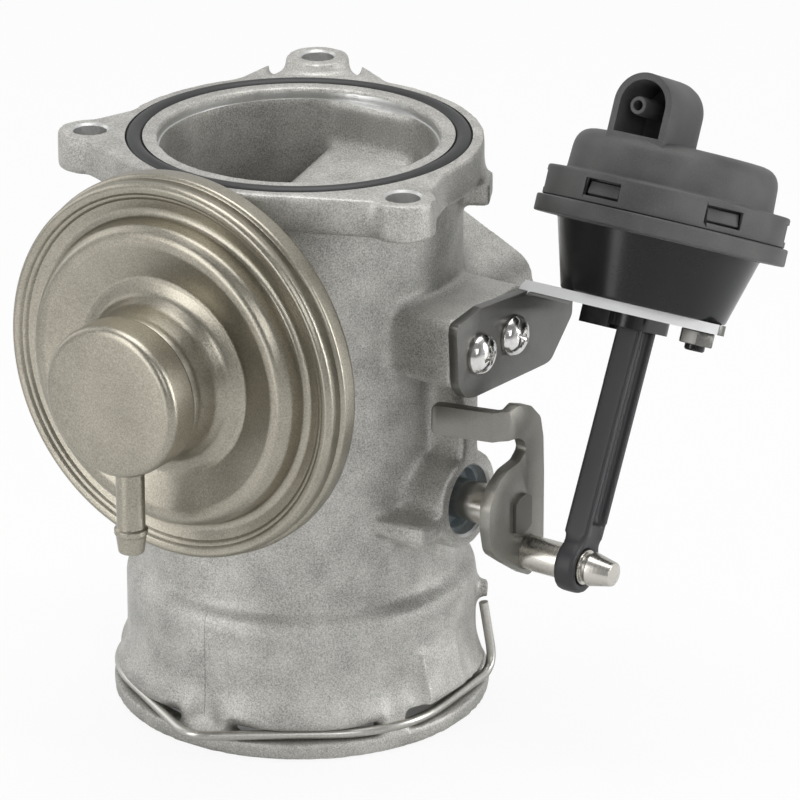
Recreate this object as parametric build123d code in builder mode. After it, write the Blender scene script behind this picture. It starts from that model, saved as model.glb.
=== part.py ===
import os
from math import acos, atan2, cos, degrees, hypot, radians, sin, sqrt, tan

from build123d import *

os.makedirs("parts", exist_ok=True)

# Driving sizes in millimetres. The origin is the centre of the inlet ring's lower face,
# +Z runs up the main bore, +X along the throttle shaft and -Y towards the vacuum can.

# Main casting
bore_radius = 27.0
barrel_wall = 5.0
socket_step = 5.0
socket_depth = 20.0
flap_over_socket = 2.15
stem_over_flap = 2.55
flange_over_step = 2.9
cup_wall = 3.0
cup_height = 28.4
cup_top_fillet = 2.4

# Inlet ring and the slots of the spring clip
ring_flare = 2.8
ring_bore_step = 0.6
ring_height = 3.4
slot_height = 3.8
lip_slope_height = 5.3
slot_centres = (-177.0, -120.0, -54.0, 3.0)
slot_half_angle = 24.5
clip_wire = 0.95
clip_reach = 3.6
clip_floor_gap = 0.35
clip_corner = 6.0
clip_loop_corner = 3.0
clip_end_corner = 2.5
clip_end_height = 19.0
clip_end_gap = 0.75
clip_foot_turn = 3.0

# Outlet flange with three screw ears
flange_rim = 2.25
flange_thickness = 7.5
flange_flat_depth = 0.7
ear_radius = 6.3
ear_hole_radius = 3.3
ear_overhang = (4.7, 12.1, 5.1)
ear_angle = (210.4, 120.3, -26.9)
ear_root_before = (20.0, 25.0, 33.0)
ear_root_after = (34.0, 25.0, 23.0)
ear_fillet = 5.0
pocket_depth = 2.3
pocket_rim = 1.0
groove_land = 2.5
groove_width = 4.25
groove_depth = 2.7
o_ring_section = 3.6
mouth_step = 0.4
mouth_depth = 2.2

# Recirculation valve: can axis, pad, nozzle and seat
pad_radius = 24.0
pad_inset = 1.0
pad_margin = 1.5
guide_boss_radius = 8.0
guide_boss_depth = 11.0
nozzle_radius = 13.0
nozzle_reach = 15.0
gas_radius = 9.0
hump_width = 19.6
hump_wall = 2.1
hump_drop = 11.3
hump_slope = 14.0
hump_reach = 20.0
hump_rise = 11.3

# Exhaust flange on the far side
exhaust_stand = 4.5
exhaust_thickness = 24.0
exhaust_radius = 17.0
exhaust_bolt_reach = 25.0
exhaust_ear_radius = 6.4
exhaust_hole_radius = 3.4
exhaust_hole_depth = 12.0
exhaust_port_radius = 11.0
exhaust_port_depth = 16.0

# Small cast features of the cup and the front boss
shelf_drop = 7.4
shelf_width = 2.8
shelf_thickness = 3.2
shelf_setback = 4.0
wedge_width = 13.0
wedge_shift = -3.0
wedge_height = 10.0
lug_reach = 2.4
lug_width = 3.2
lug_height = 3.4
gate_angle = 28.0
gate_reach = 1.5
gate_width = 8.0
gate_height = 5.0

# Throttle shaft, bosses and bushes
shaft_radius = 4.0
running_clearance = 0.04
front_boss_stand = 8.0
rear_boss_stand = 6.0
boss_radius = 9.8
bush_wall = 1.5
bush_inset = 0.6
boss_mouth_radius = 7.0
boss_mouth_depth = 5.5
seal_thickness = 3.2
seal_rim = 0.9
seal_lip = 0.8
plug_thickness = 2.0
rear_end_gap = 1.0

# Valve stem, its guide, its seat and the screws of the can
stem_radius = 3.0
guide_wall = 2.4
seat_height = 4.0
seat_throat_radius = 8.2
seat_wall = 2.2
poppet_radius = 9.3
poppet_thickness = 2.4
valve_gap = 0.05
can_screw_radius = 2.0
can_screw_depth = 7.0
can_screw_head = 3.4
can_screw_head_height = 1.6
bracket_screw_length = 12.0
press_gap = 0.02
stack_room = 0.6
plate_sheet = 1.0
plate_radius = 20.0
diaphragm_sheet = 0.8
stem_thread_radius = 2.5
stem_nut_across = 8.0
stem_nut_height = 3.2
egr_spring_wire = 0.9
egr_spring_turns = 5

# Flap
flap_clearance = 0.25
flap_thickness = 2.0
flap_screw_spread = 9.0
flap_screw_radius = 2.0
flap_head_radius = 3.6
flap_head_height = 1.8
flap_head_seat = 0.8
shaft_flats = 5.6

# Lever and pin
lever_stand = 11.9
lever_thickness = 3.0
lever_hub_radius = 10.8
pin_drop = 9.0
pin_offset = 2.6
pin_radius = 3.5
pin_stand = 31.6
pin_cone = 4.6
pin_tip_radius = 2.5
pin_groove_depth = 0.6
pin_groove_width = 1.6
lever_pin_margin = 2.6
lever_right = 8.2
lever_rise = 23.1
tab_length = 17.2
tab_height = 6.0
tab_rise = 16.4
stop_gap = 0.1
stop_face = 2.2
rivet_height = 0.7

# Actuator bracket
bracket_stand = 5.5
bracket_sheet = 2.0
bracket_screw_y = (-5.5, 6.2)
bracket_screw_rise = 33.7
bracket_screw_radius = 2.0
bracket_head_radius = 4.0
bracket_head_height = 2.6
block_left = -12.5
block_right = 14.0
block_low_rise = 27.5
block_high_rise = 41.7
plate_near = 14.4
plate_far = 12.0
plate_shoulder = 3.0
plate_tongue = 5.0
plate_corner = 3.0
bend_length = 17.0

# Vacuum actuator, along its own tilted axis; the rod leans a little more
actuator_tilt = 24.0
rod_lean = 26.5
rod_stand = 23.0
plate_distance = 50.5
cone_height = 13.6
cone_taper = 3.8
cone_setback = 3.9
shell_wall = 1.6
lip_overhang = 0.9
lip_height = 3.4
rim_radius = 24.0
rim_height = 6.0
window_width = 8.0
window_height = 3.4
dome_setback = 3.8
dome_taper = 2.8
dome_height = 8.5
hood_width = 12.6
hood_depth = 15.5
hood_start = 2.9
hood_height = 12.2
hood_wall = 1.4
nipple_radius = 1.75
nipple_bore = 1.0
nipple_height = 5.7
nipple_shift = -1.2
nipple_setback = 0.4
hood_back_wall = 3.8
face_gap = 0.1
collar_height = 2.6
collar_wall = 1.0
stud_offset = 13.1
stud_radius = 2.0
nut_height = 2.8
nut_across = 6.4
snap_wall = 1.1
window_sill = 1.3
window_start = -33.5
foot_length = 7.0
foot_depth = 8.0
foot_height = 3.4

# Rod
rod_thick = 5.2
rod_wide = 7.2
rod_web = 1.8
rod_flange = 1.5
eye_radius = 5.4
eye_thick = 4.4
rod_sway = 2.8
rod_head_radius = 5.0
rod_head_height = 1.6
rod_rest_gap = 0.6
piston_gap = 0.6
piston_radius = 11.5
piston_sheet = 1.2
actuator_spring_wire = 0.8
actuator_spring_turns = 4.5

# Sheet-metal can
can_rim_radius = 37.5
can_rear_radius = 38.2
can_front_rise = 13.7
can_rear_rise = 5.0
can_sheet = 1.2
annulus_radius = 32.0
annulus_rise = 10.4
clamp_gap = 0.2
plateau_radius = 29.8
plateau_rise = 16.8
neck_base_radius = 18.2
neck_base_rise = 14.2
neck_radius = 13.2
cup_overhang = 1.8
cup_back_rise = 24.6
cup_face_rise = 32.2
can_cup_fillet = 1.8
can_nipple_radius = 2.7
can_nipple_length = 16.5
can_barb_radius = 3.25
can_barb_length = 4.6
can_nipple_wall = 1.0
nipple_x = 1.2
nipple_rise = 27.0
gasket_thickness = 0.8
rear_step_radius = 25.0
can_screw_circle = 16.0

# Derived places
socket_radius = bore_radius + socket_step
flap_radius = bore_radius - flap_clearance
shaft_height = socket_depth + flap_radius + flap_over_socket
can_height = shaft_height + flap_radius + stem_radius + stem_over_flap
body_height = can_height + rear_step_radius + flange_thickness + flange_over_step
barrel_radius = bore_radius + barrel_wall
lip_radius = rim_radius + lip_overhang
cone_high_radius = rim_radius - cone_setback
cone_low_radius = cone_high_radius - cone_taper
dome_radius = rim_radius - dome_setback
dome_top_radius = dome_radius - dome_taper
cup_radius = neck_radius + cup_overhang
groove_outer_radius = bore_radius + groove_land + groove_width
flange_radius = groove_outer_radius + flange_rim
flange_front_flat = flange_radius - flange_flat_depth
ear_reach = [flange_radius + overhang for overhang in ear_overhang]
mouth_radius = bore_radius + mouth_step
clip_distance = socket_radius + clip_reach
pad_face = barrel_radius - pad_inset
can_rear_back = pad_face + can_rear_rise
annulus_y = pad_face + annulus_rise
can_front = pad_face + can_front_rise
plateau_y = pad_face + plateau_rise
neck_base_y = pad_face + neck_base_rise
cup_back = pad_face + cup_back_rise
cup_face = pad_face + cup_face_rise
nipple_y = pad_face + nipple_rise
nozzle_end = bore_radius - nozzle_reach
hump_flat = bore_radius - hump_wall
hump_front = bore_radius - hump_reach
hump_top = body_height - hump_drop
hump_under = can_height + hump_rise
exhaust_face = barrel_radius + exhaust_stand
front_boss_end = barrel_radius + front_boss_stand
rear_boss_end = barrel_radius + rear_boss_stand
lever_outer = front_boss_end + lever_stand
lever_top = shaft_height + lever_rise
pin_end = front_boss_end + pin_stand
rod_x = front_boss_end + rod_stand
bracket_face = front_boss_end + bracket_stand
bracket_screw_z = shaft_height + bracket_screw_rise
block_bottom = shaft_height + block_low_rise
block_top = shaft_height + block_high_rise
cup_outer = socket_radius + cup_wall
ring_outer = cup_outer + ring_flare
seat_outer_radius = seat_throat_radius + seat_wall
guide_inner_radius = stem_radius + running_clearance
guide_outer_radius = guide_inner_radius + guide_wall
bush_inner_radius = shaft_radius + running_clearance
bush_outer_radius = bush_inner_radius + bush_wall
slot_top = ring_height + slot_height
axis_can = Axis((0, 0, can_height), (0, 1, 0))
plane_can = Plane.XY.offset(can_height)
clamp_back = annulus_y - can_sheet - diaphragm_sheet - clamp_gap
axis_shaft = Axis((0, 0, shaft_height), (1, 0, 0))
plane_shaft = Plane(origin=(0, 0, shaft_height), x_dir=(1, 0, 0), z_dir=(0, -1, 0))
pin_y = pin_offset
pin_z = shaft_height - pin_drop
tilt_sin = sin(radians(actuator_tilt))
tilt_cos = cos(radians(actuator_tilt))
lean_sin = sin(radians(rod_lean))
lean_cos = cos(radians(rod_lean))
act_origin = (
    rod_x,
    pin_y + plate_distance * lean_sin,
    pin_z + plate_distance * lean_cos,
)
plane_act = Plane(origin=act_origin, x_dir=(1, 0, 0), z_dir=(0, tilt_sin, tilt_cos))
axis_act = Axis(act_origin, (0, tilt_sin, tilt_cos))
collar_short = rod_thick / 2 + 0.5 + collar_wall
collar_long = rod_wide / 2 + rod_sway + collar_wall


def on_circle(radius, angle):
    """Point of a circle about the origin."""
    return (radius * cos(radians(angle)), radius * sin(radians(angle)))


def facing(x, y, z, normal, x_dir):
    """Plane at a point with a given normal."""
    return Plane(origin=(x, y, z), x_dir=x_dir, z_dir=normal)


def yz_plane(x):
    """Plane across the shaft: local x is Y and local y is Z."""
    return Plane(origin=(x, 0, 0), x_dir=(0, 1, 0), z_dir=(1, 0, 0))


def xz_plane(y):
    """Plane facing -Y: local x is X and local y is Z."""
    return Plane(origin=(0, y, 0), x_dir=(1, 0, 0), z_dir=(0, -1, 0))


def act_plane(height):
    """Plane square to the actuator's axis, at a height above the bracket plate's middle."""
    return plane_act.offset(height)


def tilted_yz(across, height):
    """Y and Z of a point given across and along the actuator's axis."""
    y = act_origin[1] + across * tilt_cos + height * tilt_sin
    z = act_origin[2] - across * tilt_sin + height * tilt_cos
    return (y, z)


def rod_yz(across, height):
    """Y and Z of a point given across and along the rod, from the lever's pin."""
    y = pin_y + across * lean_cos + height * lean_sin
    z = pin_z - across * lean_sin + height * lean_cos
    return (y, z)


def save(part, name):
    """Label a finished piece and write it to its own file."""
    part.label = name
    export_step(part, f"parts/{name}.step")


# Valve housing: one light-alloy casting with barrel, inlet cup, flanges and bosses
with BuildPart() as valve_housing:
    # Barrel, stepped cup and flared ring
    with BuildSketch(xz_plane(0)):
        Polygon(
            (0, 0),
            (ring_outer, 0),
            (ring_outer, slot_top),
            (cup_outer, slot_top + lip_slope_height),
            (cup_outer, cup_height),
            (barrel_radius, cup_height),
            (barrel_radius, body_height),
            (0, body_height),
            align=None,
        )
    revolve(axis=Axis.Z)
    cup_edge = valve_housing.edges().filter_by(
        lambda e: e.geom_type == GeomType.CIRCLE
        and abs(e.radius - cup_outer) < 0.01
        and abs(e.center().Z - cup_height) < 0.01
    )
    fillet(cup_edge, cup_top_fillet)

    # Outlet flange with its three ears
    with BuildSketch(Plane.XY.offset(body_height - flange_thickness)) as flange_sketch:
        Circle(flange_radius)
        for reach, angle, before, after in zip(ear_reach, ear_angle, ear_root_before, ear_root_after):
            centre = on_circle(reach, angle)
            side = on_circle(ear_radius, angle + 90)
            Polygon(
                (centre[0] - side[0], centre[1] - side[1]),
                on_circle(flange_radius, angle - before),
                (0, 0),
                on_circle(flange_radius, angle + after),
                (centre[0] + side[0], centre[1] + side[1]),
                align=None,
            )
            with Locations(centre):
                Circle(ear_radius)
        roots = flange_sketch.vertices().filter_by(
            lambda v: abs(hypot(v.X, v.Y) - flange_radius) < 0.01
        )
        fillet(roots, ear_fillet)
        with Locations((0, -flange_front_flat - flange_radius)):
            Rectangle(2 * flange_radius, 2 * flange_radius, mode=Mode.SUBTRACT)
    extrude(amount=flange_thickness)

    # Pad for the vacuum can and boss for the valve stem's guide
    with BuildSketch(xz_plane(0)):
        with Locations((0, can_height)):
            Circle(pad_radius)
    extrude(amount=pad_face)

    with BuildSketch(xz_plane(-pad_face)):
        with Locations((0, can_height)):
            Circle(rear_step_radius + pad_margin)
    extrude(amount=barrel_wall, mode=Mode.SUBTRACT)

    # Exhaust flange
    with BuildSketch(xz_plane(exhaust_face)):
        with Locations((0, can_height)):
            Circle(exhaust_radius)
        lean = acos((exhaust_radius - exhaust_ear_radius) / exhaust_bolt_reach)
        for hand in (-1, 1):
            ear_x = hand * exhaust_bolt_reach
            top = (exhaust_radius * cos(lean), exhaust_radius * sin(lean))
            tip = (exhaust_ear_radius * cos(lean), exhaust_ear_radius * sin(lean))
            Polygon(
                (hand * top[0], can_height + top[1]),
                (ear_x + hand * tip[0], can_height + tip[1]),
                (ear_x + hand * tip[0], can_height - tip[1]),
                (hand * top[0], can_height - top[1]),
                align=None,
            )
            with Locations((ear_x, can_height)):
                Circle(exhaust_ear_radius)
    extrude(amount=exhaust_thickness)
    with BuildSketch(xz_plane(exhaust_face)):
        with Locations((0, can_height)):
            Circle(exhaust_radius)
    extrude(amount=exhaust_face)

    # Shaft bosses
    with BuildSketch(yz_plane(0)):
        with Locations((0, shaft_height)):
            Circle(boss_radius)
    extrude(amount=front_boss_end)
    with BuildSketch(yz_plane(-rear_boss_end)):
        with Locations((0, shaft_height)):
            Circle(boss_radius)
    extrude(amount=rear_boss_end)

    # Block that carries the bracket, and the stop web below it
    with BuildSketch(yz_plane(0)) as block_sketch:
        Polygon(
            (block_left, block_bottom),
            (block_right, block_bottom),
            (block_right, block_top),
            (block_left, block_top),
            align=None,
        )
        fillet(block_sketch.vertices(), 2.5)
    extrude(amount=bracket_face - bracket_sheet)
    with BuildSketch(Plane.XY.offset(shaft_height)):
        Polygon(
            (0, -stop_face),
            (front_boss_end, -stop_face),
            (front_boss_end, stop_face + 1),
            (barrel_radius - 2, 3 * stop_face),
            (0, 3 * stop_face),
            align=None,
        )
    extrude(amount=(block_bottom + block_top) / 2 - shaft_height)

    # Small shelf beside the front boss
    with BuildSketch(Plane.XY.offset(shaft_height - shelf_drop)):
        Polygon(
            (0, 0),
            (0, -boss_radius - shelf_width),
            (front_boss_end - shelf_setback, -boss_radius - shelf_width),
            (front_boss_end - shelf_setback, 0),
            align=None,
        )
    extrude(amount=shelf_thickness)

    # Wedge on the cup above the slot, and the two lugs over the clip's ends
    with BuildSketch(xz_plane(-wedge_width / 2 + wedge_shift)) as wedge:
        Polygon(
            (cup_outer - cup_wall / 2, slot_top),
            (ring_outer - 0.3, slot_top),
            (ring_outer - 0.3, slot_top + 1.2),
            (cup_outer + 0.2, slot_top + wedge_height),
            (cup_outer - cup_wall / 2, slot_top + wedge_height),
            align=None,
        )
    extrude(amount=-wedge_width)
    foot_turn = slot_half_angle + clip_foot_turn
    for lug_angle in (slot_centres[0] - foot_turn, slot_centres[-1] + foot_turn):
        lug_middle = on_circle(cup_outer + lug_reach / 2 - 0.5, lug_angle)
        with BuildSketch(Plane.XY.offset(clip_end_height + clip_floor_gap)):
            with Locations(Location((lug_middle[0], lug_middle[1], 0), lug_angle)):
                Rectangle(lug_reach + 1, lug_width)
        extrude(amount=lug_height)

    # Short gate stub under the flange
    gate_base = barrel_radius - barrel_wall / 2
    gate_middle = on_circle((gate_base + flange_radius + gate_reach) / 2, gate_angle)
    with BuildSketch(Plane.XY.offset(body_height - flange_thickness)):
        with Locations(Location((gate_middle[0], gate_middle[1], 0), gate_angle)):
            Rectangle(flange_radius + gate_reach - gate_base, gate_width)
    extrude(amount=-gate_height)

    # Main bore, socket and machined mouth
    with BuildSketch(Plane.XY.offset(socket_depth)):
        Circle(bore_radius)
    extrude(amount=body_height - socket_depth, mode=Mode.SUBTRACT)
    with BuildSketch(Plane.XY):
        Circle(socket_radius)
    extrude(amount=socket_depth, mode=Mode.SUBTRACT)
    with BuildSketch(Plane.XY):
        Circle(socket_radius + ring_bore_step)
    extrude(amount=ring_height, mode=Mode.SUBTRACT)
    with BuildSketch(Plane.XY.offset(body_height)):
        Circle(mouth_radius)
    extrude(amount=-mouth_depth, mode=Mode.SUBTRACT)

    # Hump and nozzle of the gas passage inside the bore
    with BuildSketch(yz_plane(-hump_width / 2)):
        Polygon(
            (barrel_radius - 2, body_height - mouth_depth),
            (hump_flat, body_height - mouth_depth),
            (hump_flat, hump_top),
            (hump_front, hump_top - (hump_flat - hump_front) * tan(radians(hump_slope))),
            (hump_front, hump_under),
            (barrel_radius - 2, hump_under - 4),
            align=None,
        )
    extrude(amount=hump_width)
    with BuildSketch(xz_plane(barrel_radius - 2)):
        with Locations((0, can_height)):
            Circle(nozzle_radius)
    extrude(amount=barrel_radius - 2 - nozzle_end)
    with BuildSketch(xz_plane(-pad_face + guide_boss_depth)):
        with Locations((0, can_height)):
            Circle(guide_boss_radius)
    extrude(amount=guide_boss_depth)

    # Gas passage, seat recess and the stem guide's bore
    with BuildSketch(xz_plane(exhaust_face)):
        with Locations((0, can_height)):
            Circle(gas_radius)
    extrude(amount=exhaust_face - nozzle_end, mode=Mode.SUBTRACT)
    with BuildSketch(xz_plane(exhaust_face)):
        with Locations((0, can_height)):
            Circle(exhaust_port_radius)
    extrude(amount=exhaust_port_depth, mode=Mode.SUBTRACT)
    with BuildSketch(xz_plane(nozzle_end + seat_height)):
        with Locations((0, can_height)):
            Circle(seat_outer_radius)
    extrude(amount=seat_height, mode=Mode.SUBTRACT)
    with BuildSketch(xz_plane(-pad_face + guide_boss_depth)):
        with Locations((0, can_height)):
            Circle(guide_outer_radius)
    extrude(amount=guide_boss_depth, mode=Mode.SUBTRACT)

    # Bore of both shaft bosses, with its wider mouth in front
    with BuildSketch(yz_plane(-rear_boss_end)):
        with Locations((0, shaft_height)):
            Circle(bush_outer_radius)
    extrude(amount=rear_boss_end + front_boss_end, mode=Mode.SUBTRACT)
    with BuildSketch(yz_plane(front_boss_end - boss_mouth_depth)):
        with Locations((0, shaft_height)):
            Circle(boss_mouth_radius)
    extrude(amount=boss_mouth_depth, mode=Mode.SUBTRACT)

    # Groove of the flange seal
    with BuildSketch(Plane.XY.offset(body_height)):
        Circle(groove_outer_radius)
        Circle(groove_outer_radius - groove_width, mode=Mode.SUBTRACT)
    extrude(amount=-groove_depth, mode=Mode.SUBTRACT)

    # Screw holes: three in the ears, two in the exhaust flange, two in the block, three in the pad
    with BuildSketch(Plane.XY.offset(body_height)):
        for reach, angle in zip(ear_reach, ear_angle):
            with Locations(on_circle(reach, angle)):
                Circle(ear_hole_radius)
    extrude(amount=-flange_thickness, mode=Mode.SUBTRACT)
    with BuildSketch(xz_plane(exhaust_face)):
        with Locations((-exhaust_bolt_reach, can_height), (exhaust_bolt_reach, can_height)):
            Circle(exhaust_hole_radius)
    extrude(amount=exhaust_hole_depth, mode=Mode.SUBTRACT)
    with BuildSketch(yz_plane(bracket_face - bracket_sheet)):
        for screw_y in bracket_screw_y:
            with Locations((screw_y, bracket_screw_z)):
                Circle(bracket_screw_radius)
    extrude(amount=-bracket_screw_length, mode=Mode.SUBTRACT)
    with BuildSketch(xz_plane(-pad_face)):
        with Locations((0, can_height)):
            with PolarLocations(can_screw_circle, 3, start_angle=90):
                Circle(can_screw_radius)
    extrude(amount=-can_screw_depth, mode=Mode.SUBTRACT)

    # Slots of the spring clip through the wall of the cup
    for centre_angle in slot_centres:
        with BuildSketch(Plane.XY.offset(ring_height)):
            far = (ring_outer + 2) / cos(radians(slot_half_angle))
            Polygon(
                (0, 0),
                on_circle(far, centre_angle - slot_half_angle),
                on_circle(far, centre_angle + slot_half_angle),
                align=None,
            )
        extrude(amount=slot_height, mode=Mode.SUBTRACT)

    # Recess in the long ear, between its screw boss and the rim of the seal groove
    with BuildSketch(Plane.XY.offset(body_height)):
        ear_middle = on_circle((flange_radius + ear_reach[1]) / 2, ear_angle[1])
        with Locations(Location((ear_middle[0], ear_middle[1], 0), ear_angle[1])):
            Rectangle(ear_reach[1] - flange_radius, 2 * ear_radius + 6)
        Circle(groove_outer_radius + pocket_rim + 1, mode=Mode.SUBTRACT)
        with Locations(on_circle(ear_reach[1], ear_angle[1])):
            Circle(ear_radius + 0.2, mode=Mode.SUBTRACT)
    extrude(amount=-pocket_depth, mode=Mode.SUBTRACT)
save(valve_housing.part, "valve_housing")

# Seal of the outlet flange, a rubber ring lying in its groove
groove_middle = groove_outer_radius - groove_width / 2
with BuildPart() as flange_o_ring:
    with BuildSketch(xz_plane(0)):
        with Locations((groove_middle, body_height - groove_depth + o_ring_section / 2)):
            Circle(o_ring_section / 2)
    revolve(axis=Axis.Z)
save(flange_o_ring.part, "flange_o_ring")


# Spring clip of the inlet: straight chords in the slots, corners outside the ring, raised ends
clip_height = ring_height + clip_floor_gap + clip_wire


def chord_corner(first, second):
    """Corner where the chords of two neighbouring slots cross."""
    middle = (first + second) / 2
    return on_circle(clip_distance / cos(radians((second - first) / 2)), middle)


clip_foot_angle = slot_half_angle + clip_foot_turn
clip_foot_reach = clip_distance / cos(radians(clip_foot_angle))
clip_top_reach = cup_outer + clip_wire + clip_end_gap
first_foot = on_circle(clip_foot_reach, slot_centres[0] - clip_foot_angle)
last_foot = on_circle(clip_foot_reach, slot_centres[-1] + clip_foot_angle)
first_top = on_circle(clip_top_reach, slot_centres[0] - clip_foot_angle)
last_top = on_circle(clip_top_reach, slot_centres[-1] + clip_foot_angle)
clip_corners = [chord_corner(a, b) for a, b in zip(slot_centres, slot_centres[1:])]
clip_points = [(first_top[0], first_top[1], clip_end_height), (*first_foot, clip_height)]
clip_points += [(x, y, clip_height) for x, y in clip_corners]
clip_points += [(*last_foot, clip_height), (last_top[0], last_top[1], clip_end_height)]
clip_radii = [clip_end_corner, clip_corner, clip_loop_corner, clip_corner, clip_end_corner]
with BuildPart() as retaining_clip:
    with BuildLine() as clip_line:
        FilletPolyline(*clip_points, radius=clip_radii)
    with BuildSketch(Plane(clip_line.line @ 0, z_dir=clip_line.line % 0)):
        Circle(clip_wire)
    sweep()
save(retaining_clip.part, "retaining_clip")


def turned_sheet(points, thickness, side):
    """Sketch of a bent sheet's section: a line of points, thickened to one side."""
    with BuildSketch() as section:
        with BuildLine():
            Polyline(*points)
            offset(amount=thickness, side=side, kind=Kind.INTERSECTION)
        make_face()
    return section.sketch


# Paper gasket, rear shell and screws of the vacuum can
gasket_front = pad_face + gasket_thickness
with BuildPart() as can_gasket:
    with BuildSketch(xz_plane(-pad_face)):
        with Locations((0, can_height)):
            Circle(pad_radius - 1)
            Circle(guide_outer_radius + 1.5, mode=Mode.SUBTRACT)
            with PolarLocations(can_screw_circle, 3, start_angle=90):
                Circle(can_screw_radius + 0.2, mode=Mode.SUBTRACT)
    extrude(amount=gasket_thickness)
save(can_gasket.part, "can_gasket")

rear_shell_line = (
    (guide_outer_radius + 1.5, -gasket_front),
    (rear_step_radius, -gasket_front),
    (rear_step_radius + 0.8, -can_rear_back),
    (can_rear_radius, -can_rear_back),
    (can_rear_radius, -clamp_back),
    (annulus_radius + can_sheet, -clamp_back),
)
with BuildPart() as can_rear_shell:
    with BuildSketch(plane_can):
        add(turned_sheet(rear_shell_line, can_sheet, Side.RIGHT))
    revolve(axis=axis_can)
    with BuildSketch(xz_plane(-gasket_front)):
        with Locations((0, can_height)):
            with PolarLocations(can_screw_circle, 3, start_angle=90):
                Circle(can_screw_radius + 0.2)
    extrude(amount=can_sheet, mode=Mode.SUBTRACT)
save(can_rear_shell.part, "can_rear_shell")

screw_seat = gasket_front + can_sheet
with BuildPart() as can_screws:
    with BuildSketch(xz_plane(-screw_seat)):
        with Locations((0, can_height)):
            with PolarLocations(can_screw_circle, 3, start_angle=90):
                Circle(can_screw_head)
    extrude(amount=can_screw_head_height)
    with BuildSketch(xz_plane(-screw_seat)):
        with Locations((0, can_height)):
            with PolarLocations(can_screw_circle, 3, start_angle=90):
                Circle(can_screw_radius - running_clearance)
    extrude(amount=-(can_sheet + gasket_thickness + can_screw_depth - 1))
save(can_screws.part, "can_screws")

# Front cover of the can: rolled rim, flat annulus, dished plateau and flared neck
cover_line = (
    (can_rim_radius, -clamp_back - face_gap),
    (can_rim_radius, -can_front + 0.9),
    (can_rim_radius - 1.1, -can_front),
    (can_rim_radius - 2.3, -can_front + 0.5),
    (can_rim_radius - 3.7, -annulus_y - 0.8),
    (annulus_radius, -annulus_y),
    (annulus_radius - 1.3, -annulus_y - 0.8),
    (plateau_radius, -plateau_y + 1.7),
    (plateau_radius - 1.2, -plateau_y),
    (plateau_radius - 3.2, -plateau_y - 0.1),
    (neck_base_radius + 0.8, -neck_base_y),
    (neck_base_radius, -neck_base_y - 0.5),
    (neck_base_radius - 2.2, -neck_base_y - 1.6),
    (neck_radius + 1.2, -neck_base_y - 4.0),
    (neck_radius, -neck_base_y - 7.4),
    (neck_radius, -cup_back - 1.6),
)
with BuildPart() as can_front_cover:
    with BuildSketch(plane_can):
        add(turned_sheet(cover_line, can_sheet, Side.RIGHT))
    revolve(axis=axis_can)
save(can_front_cover.part, "can_front_cover")

# End cup drawn over the neck, with the hose nipple below it
with BuildPart() as can_end_cup:
    with BuildSketch(plane_can):
        Polygon(
            (neck_radius, -cup_back),
            (cup_radius, -cup_back),
            (cup_radius, -cup_face),
            (0, -cup_face),
            (0, -cup_face + can_sheet),
            (neck_radius, -cup_face + can_sheet),
            align=None,
        )
    revolve(axis=axis_can)
    cup_edges = can_end_cup.edges().filter_by(
        lambda e: e.geom_type == GeomType.CIRCLE and abs(e.radius - cup_radius) < 0.01
    )
    fillet(cup_edges.sort_by(Axis.Y)[0], can_cup_fillet)
    chamfer(can_end_cup.edges().filter_by(
        lambda e: e.geom_type == GeomType.CIRCLE and abs(e.radius - cup_radius) < 0.01
    ).sort_by(Axis.Y)[-1], 0.7)
    with BuildSketch(Plane.XY.offset(can_height)):
        with Locations((nipple_x, -nipple_y)):
            Circle(can_nipple_radius)
    extrude(amount=-cup_radius, mode=Mode.SUBTRACT)
save(can_end_cup.part, "can_end_cup")

nipple_top = can_height - neck_radius
nipple_bottom = can_height - cup_radius - can_nipple_length
with BuildPart() as can_nipple:
    with BuildSketch(Plane(origin=(nipple_x, -nipple_y, 0), x_dir=(1, 0, 0), z_dir=(0, -1, 0))):
        Polygon(
            (can_nipple_radius - can_nipple_wall, nipple_top),
            (can_nipple_radius, nipple_top),
            (can_nipple_radius, nipple_bottom + can_barb_length),
            (can_barb_radius, nipple_bottom + can_barb_length - 0.5),
            (can_barb_radius - 0.6, nipple_bottom),
            (can_nipple_radius - can_nipple_wall, nipple_bottom),
            align=None,
        )
    revolve(axis=Axis((nipple_x, -nipple_y, 0), (0, 0, 1)))
save(can_nipple.part, "can_nipple")

# Diaphragm of the can, clamped at its rim, with the two plates and nut that hold its middle
stack_back = screw_seat + can_screw_head_height + stack_room
diaphragm_back = stack_back + plate_sheet
diaphragm_front = diaphragm_back + diaphragm_sheet
stack_front = diaphragm_front + plate_sheet
diaphragm_line = (
    (can_rim_radius - can_sheet - 0.3, -clamp_back),
    (annulus_radius - 2.4, -clamp_back),
    (annulus_radius - 4.2, -clamp_back - 1.2),
    (annulus_radius - 6.0, -clamp_back - 1.2),
    (plate_radius + 1.2, -diaphragm_back),
    (stem_thread_radius + 0.1, -diaphragm_back),
)
with BuildPart() as egr_diaphragm:
    with BuildSketch(plane_can):
        add(turned_sheet(diaphragm_line, diaphragm_sheet - 0.1, Side.LEFT))
    revolve(axis=axis_can)
save(egr_diaphragm.part, "egr_diaphragm")

plate_places = (("diaphragm_rear_plate", stack_back), ("diaphragm_front_plate", diaphragm_front))
for plate_name, plate_back in plate_places:
    with BuildPart() as diaphragm_plate:
        with BuildSketch(xz_plane(-plate_back)):
            with Locations((0, can_height)):
                Circle(plate_radius)
                Circle(stem_thread_radius, mode=Mode.SUBTRACT)
        extrude(amount=plate_sheet)
        fillet(diaphragm_plate.edges().filter_by(GeomType.CIRCLE).group_by(Axis.Y)[0].sort_by(
            SortBy.RADIUS)[-1], 0.4)
    save(diaphragm_plate.part, plate_name)

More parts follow.
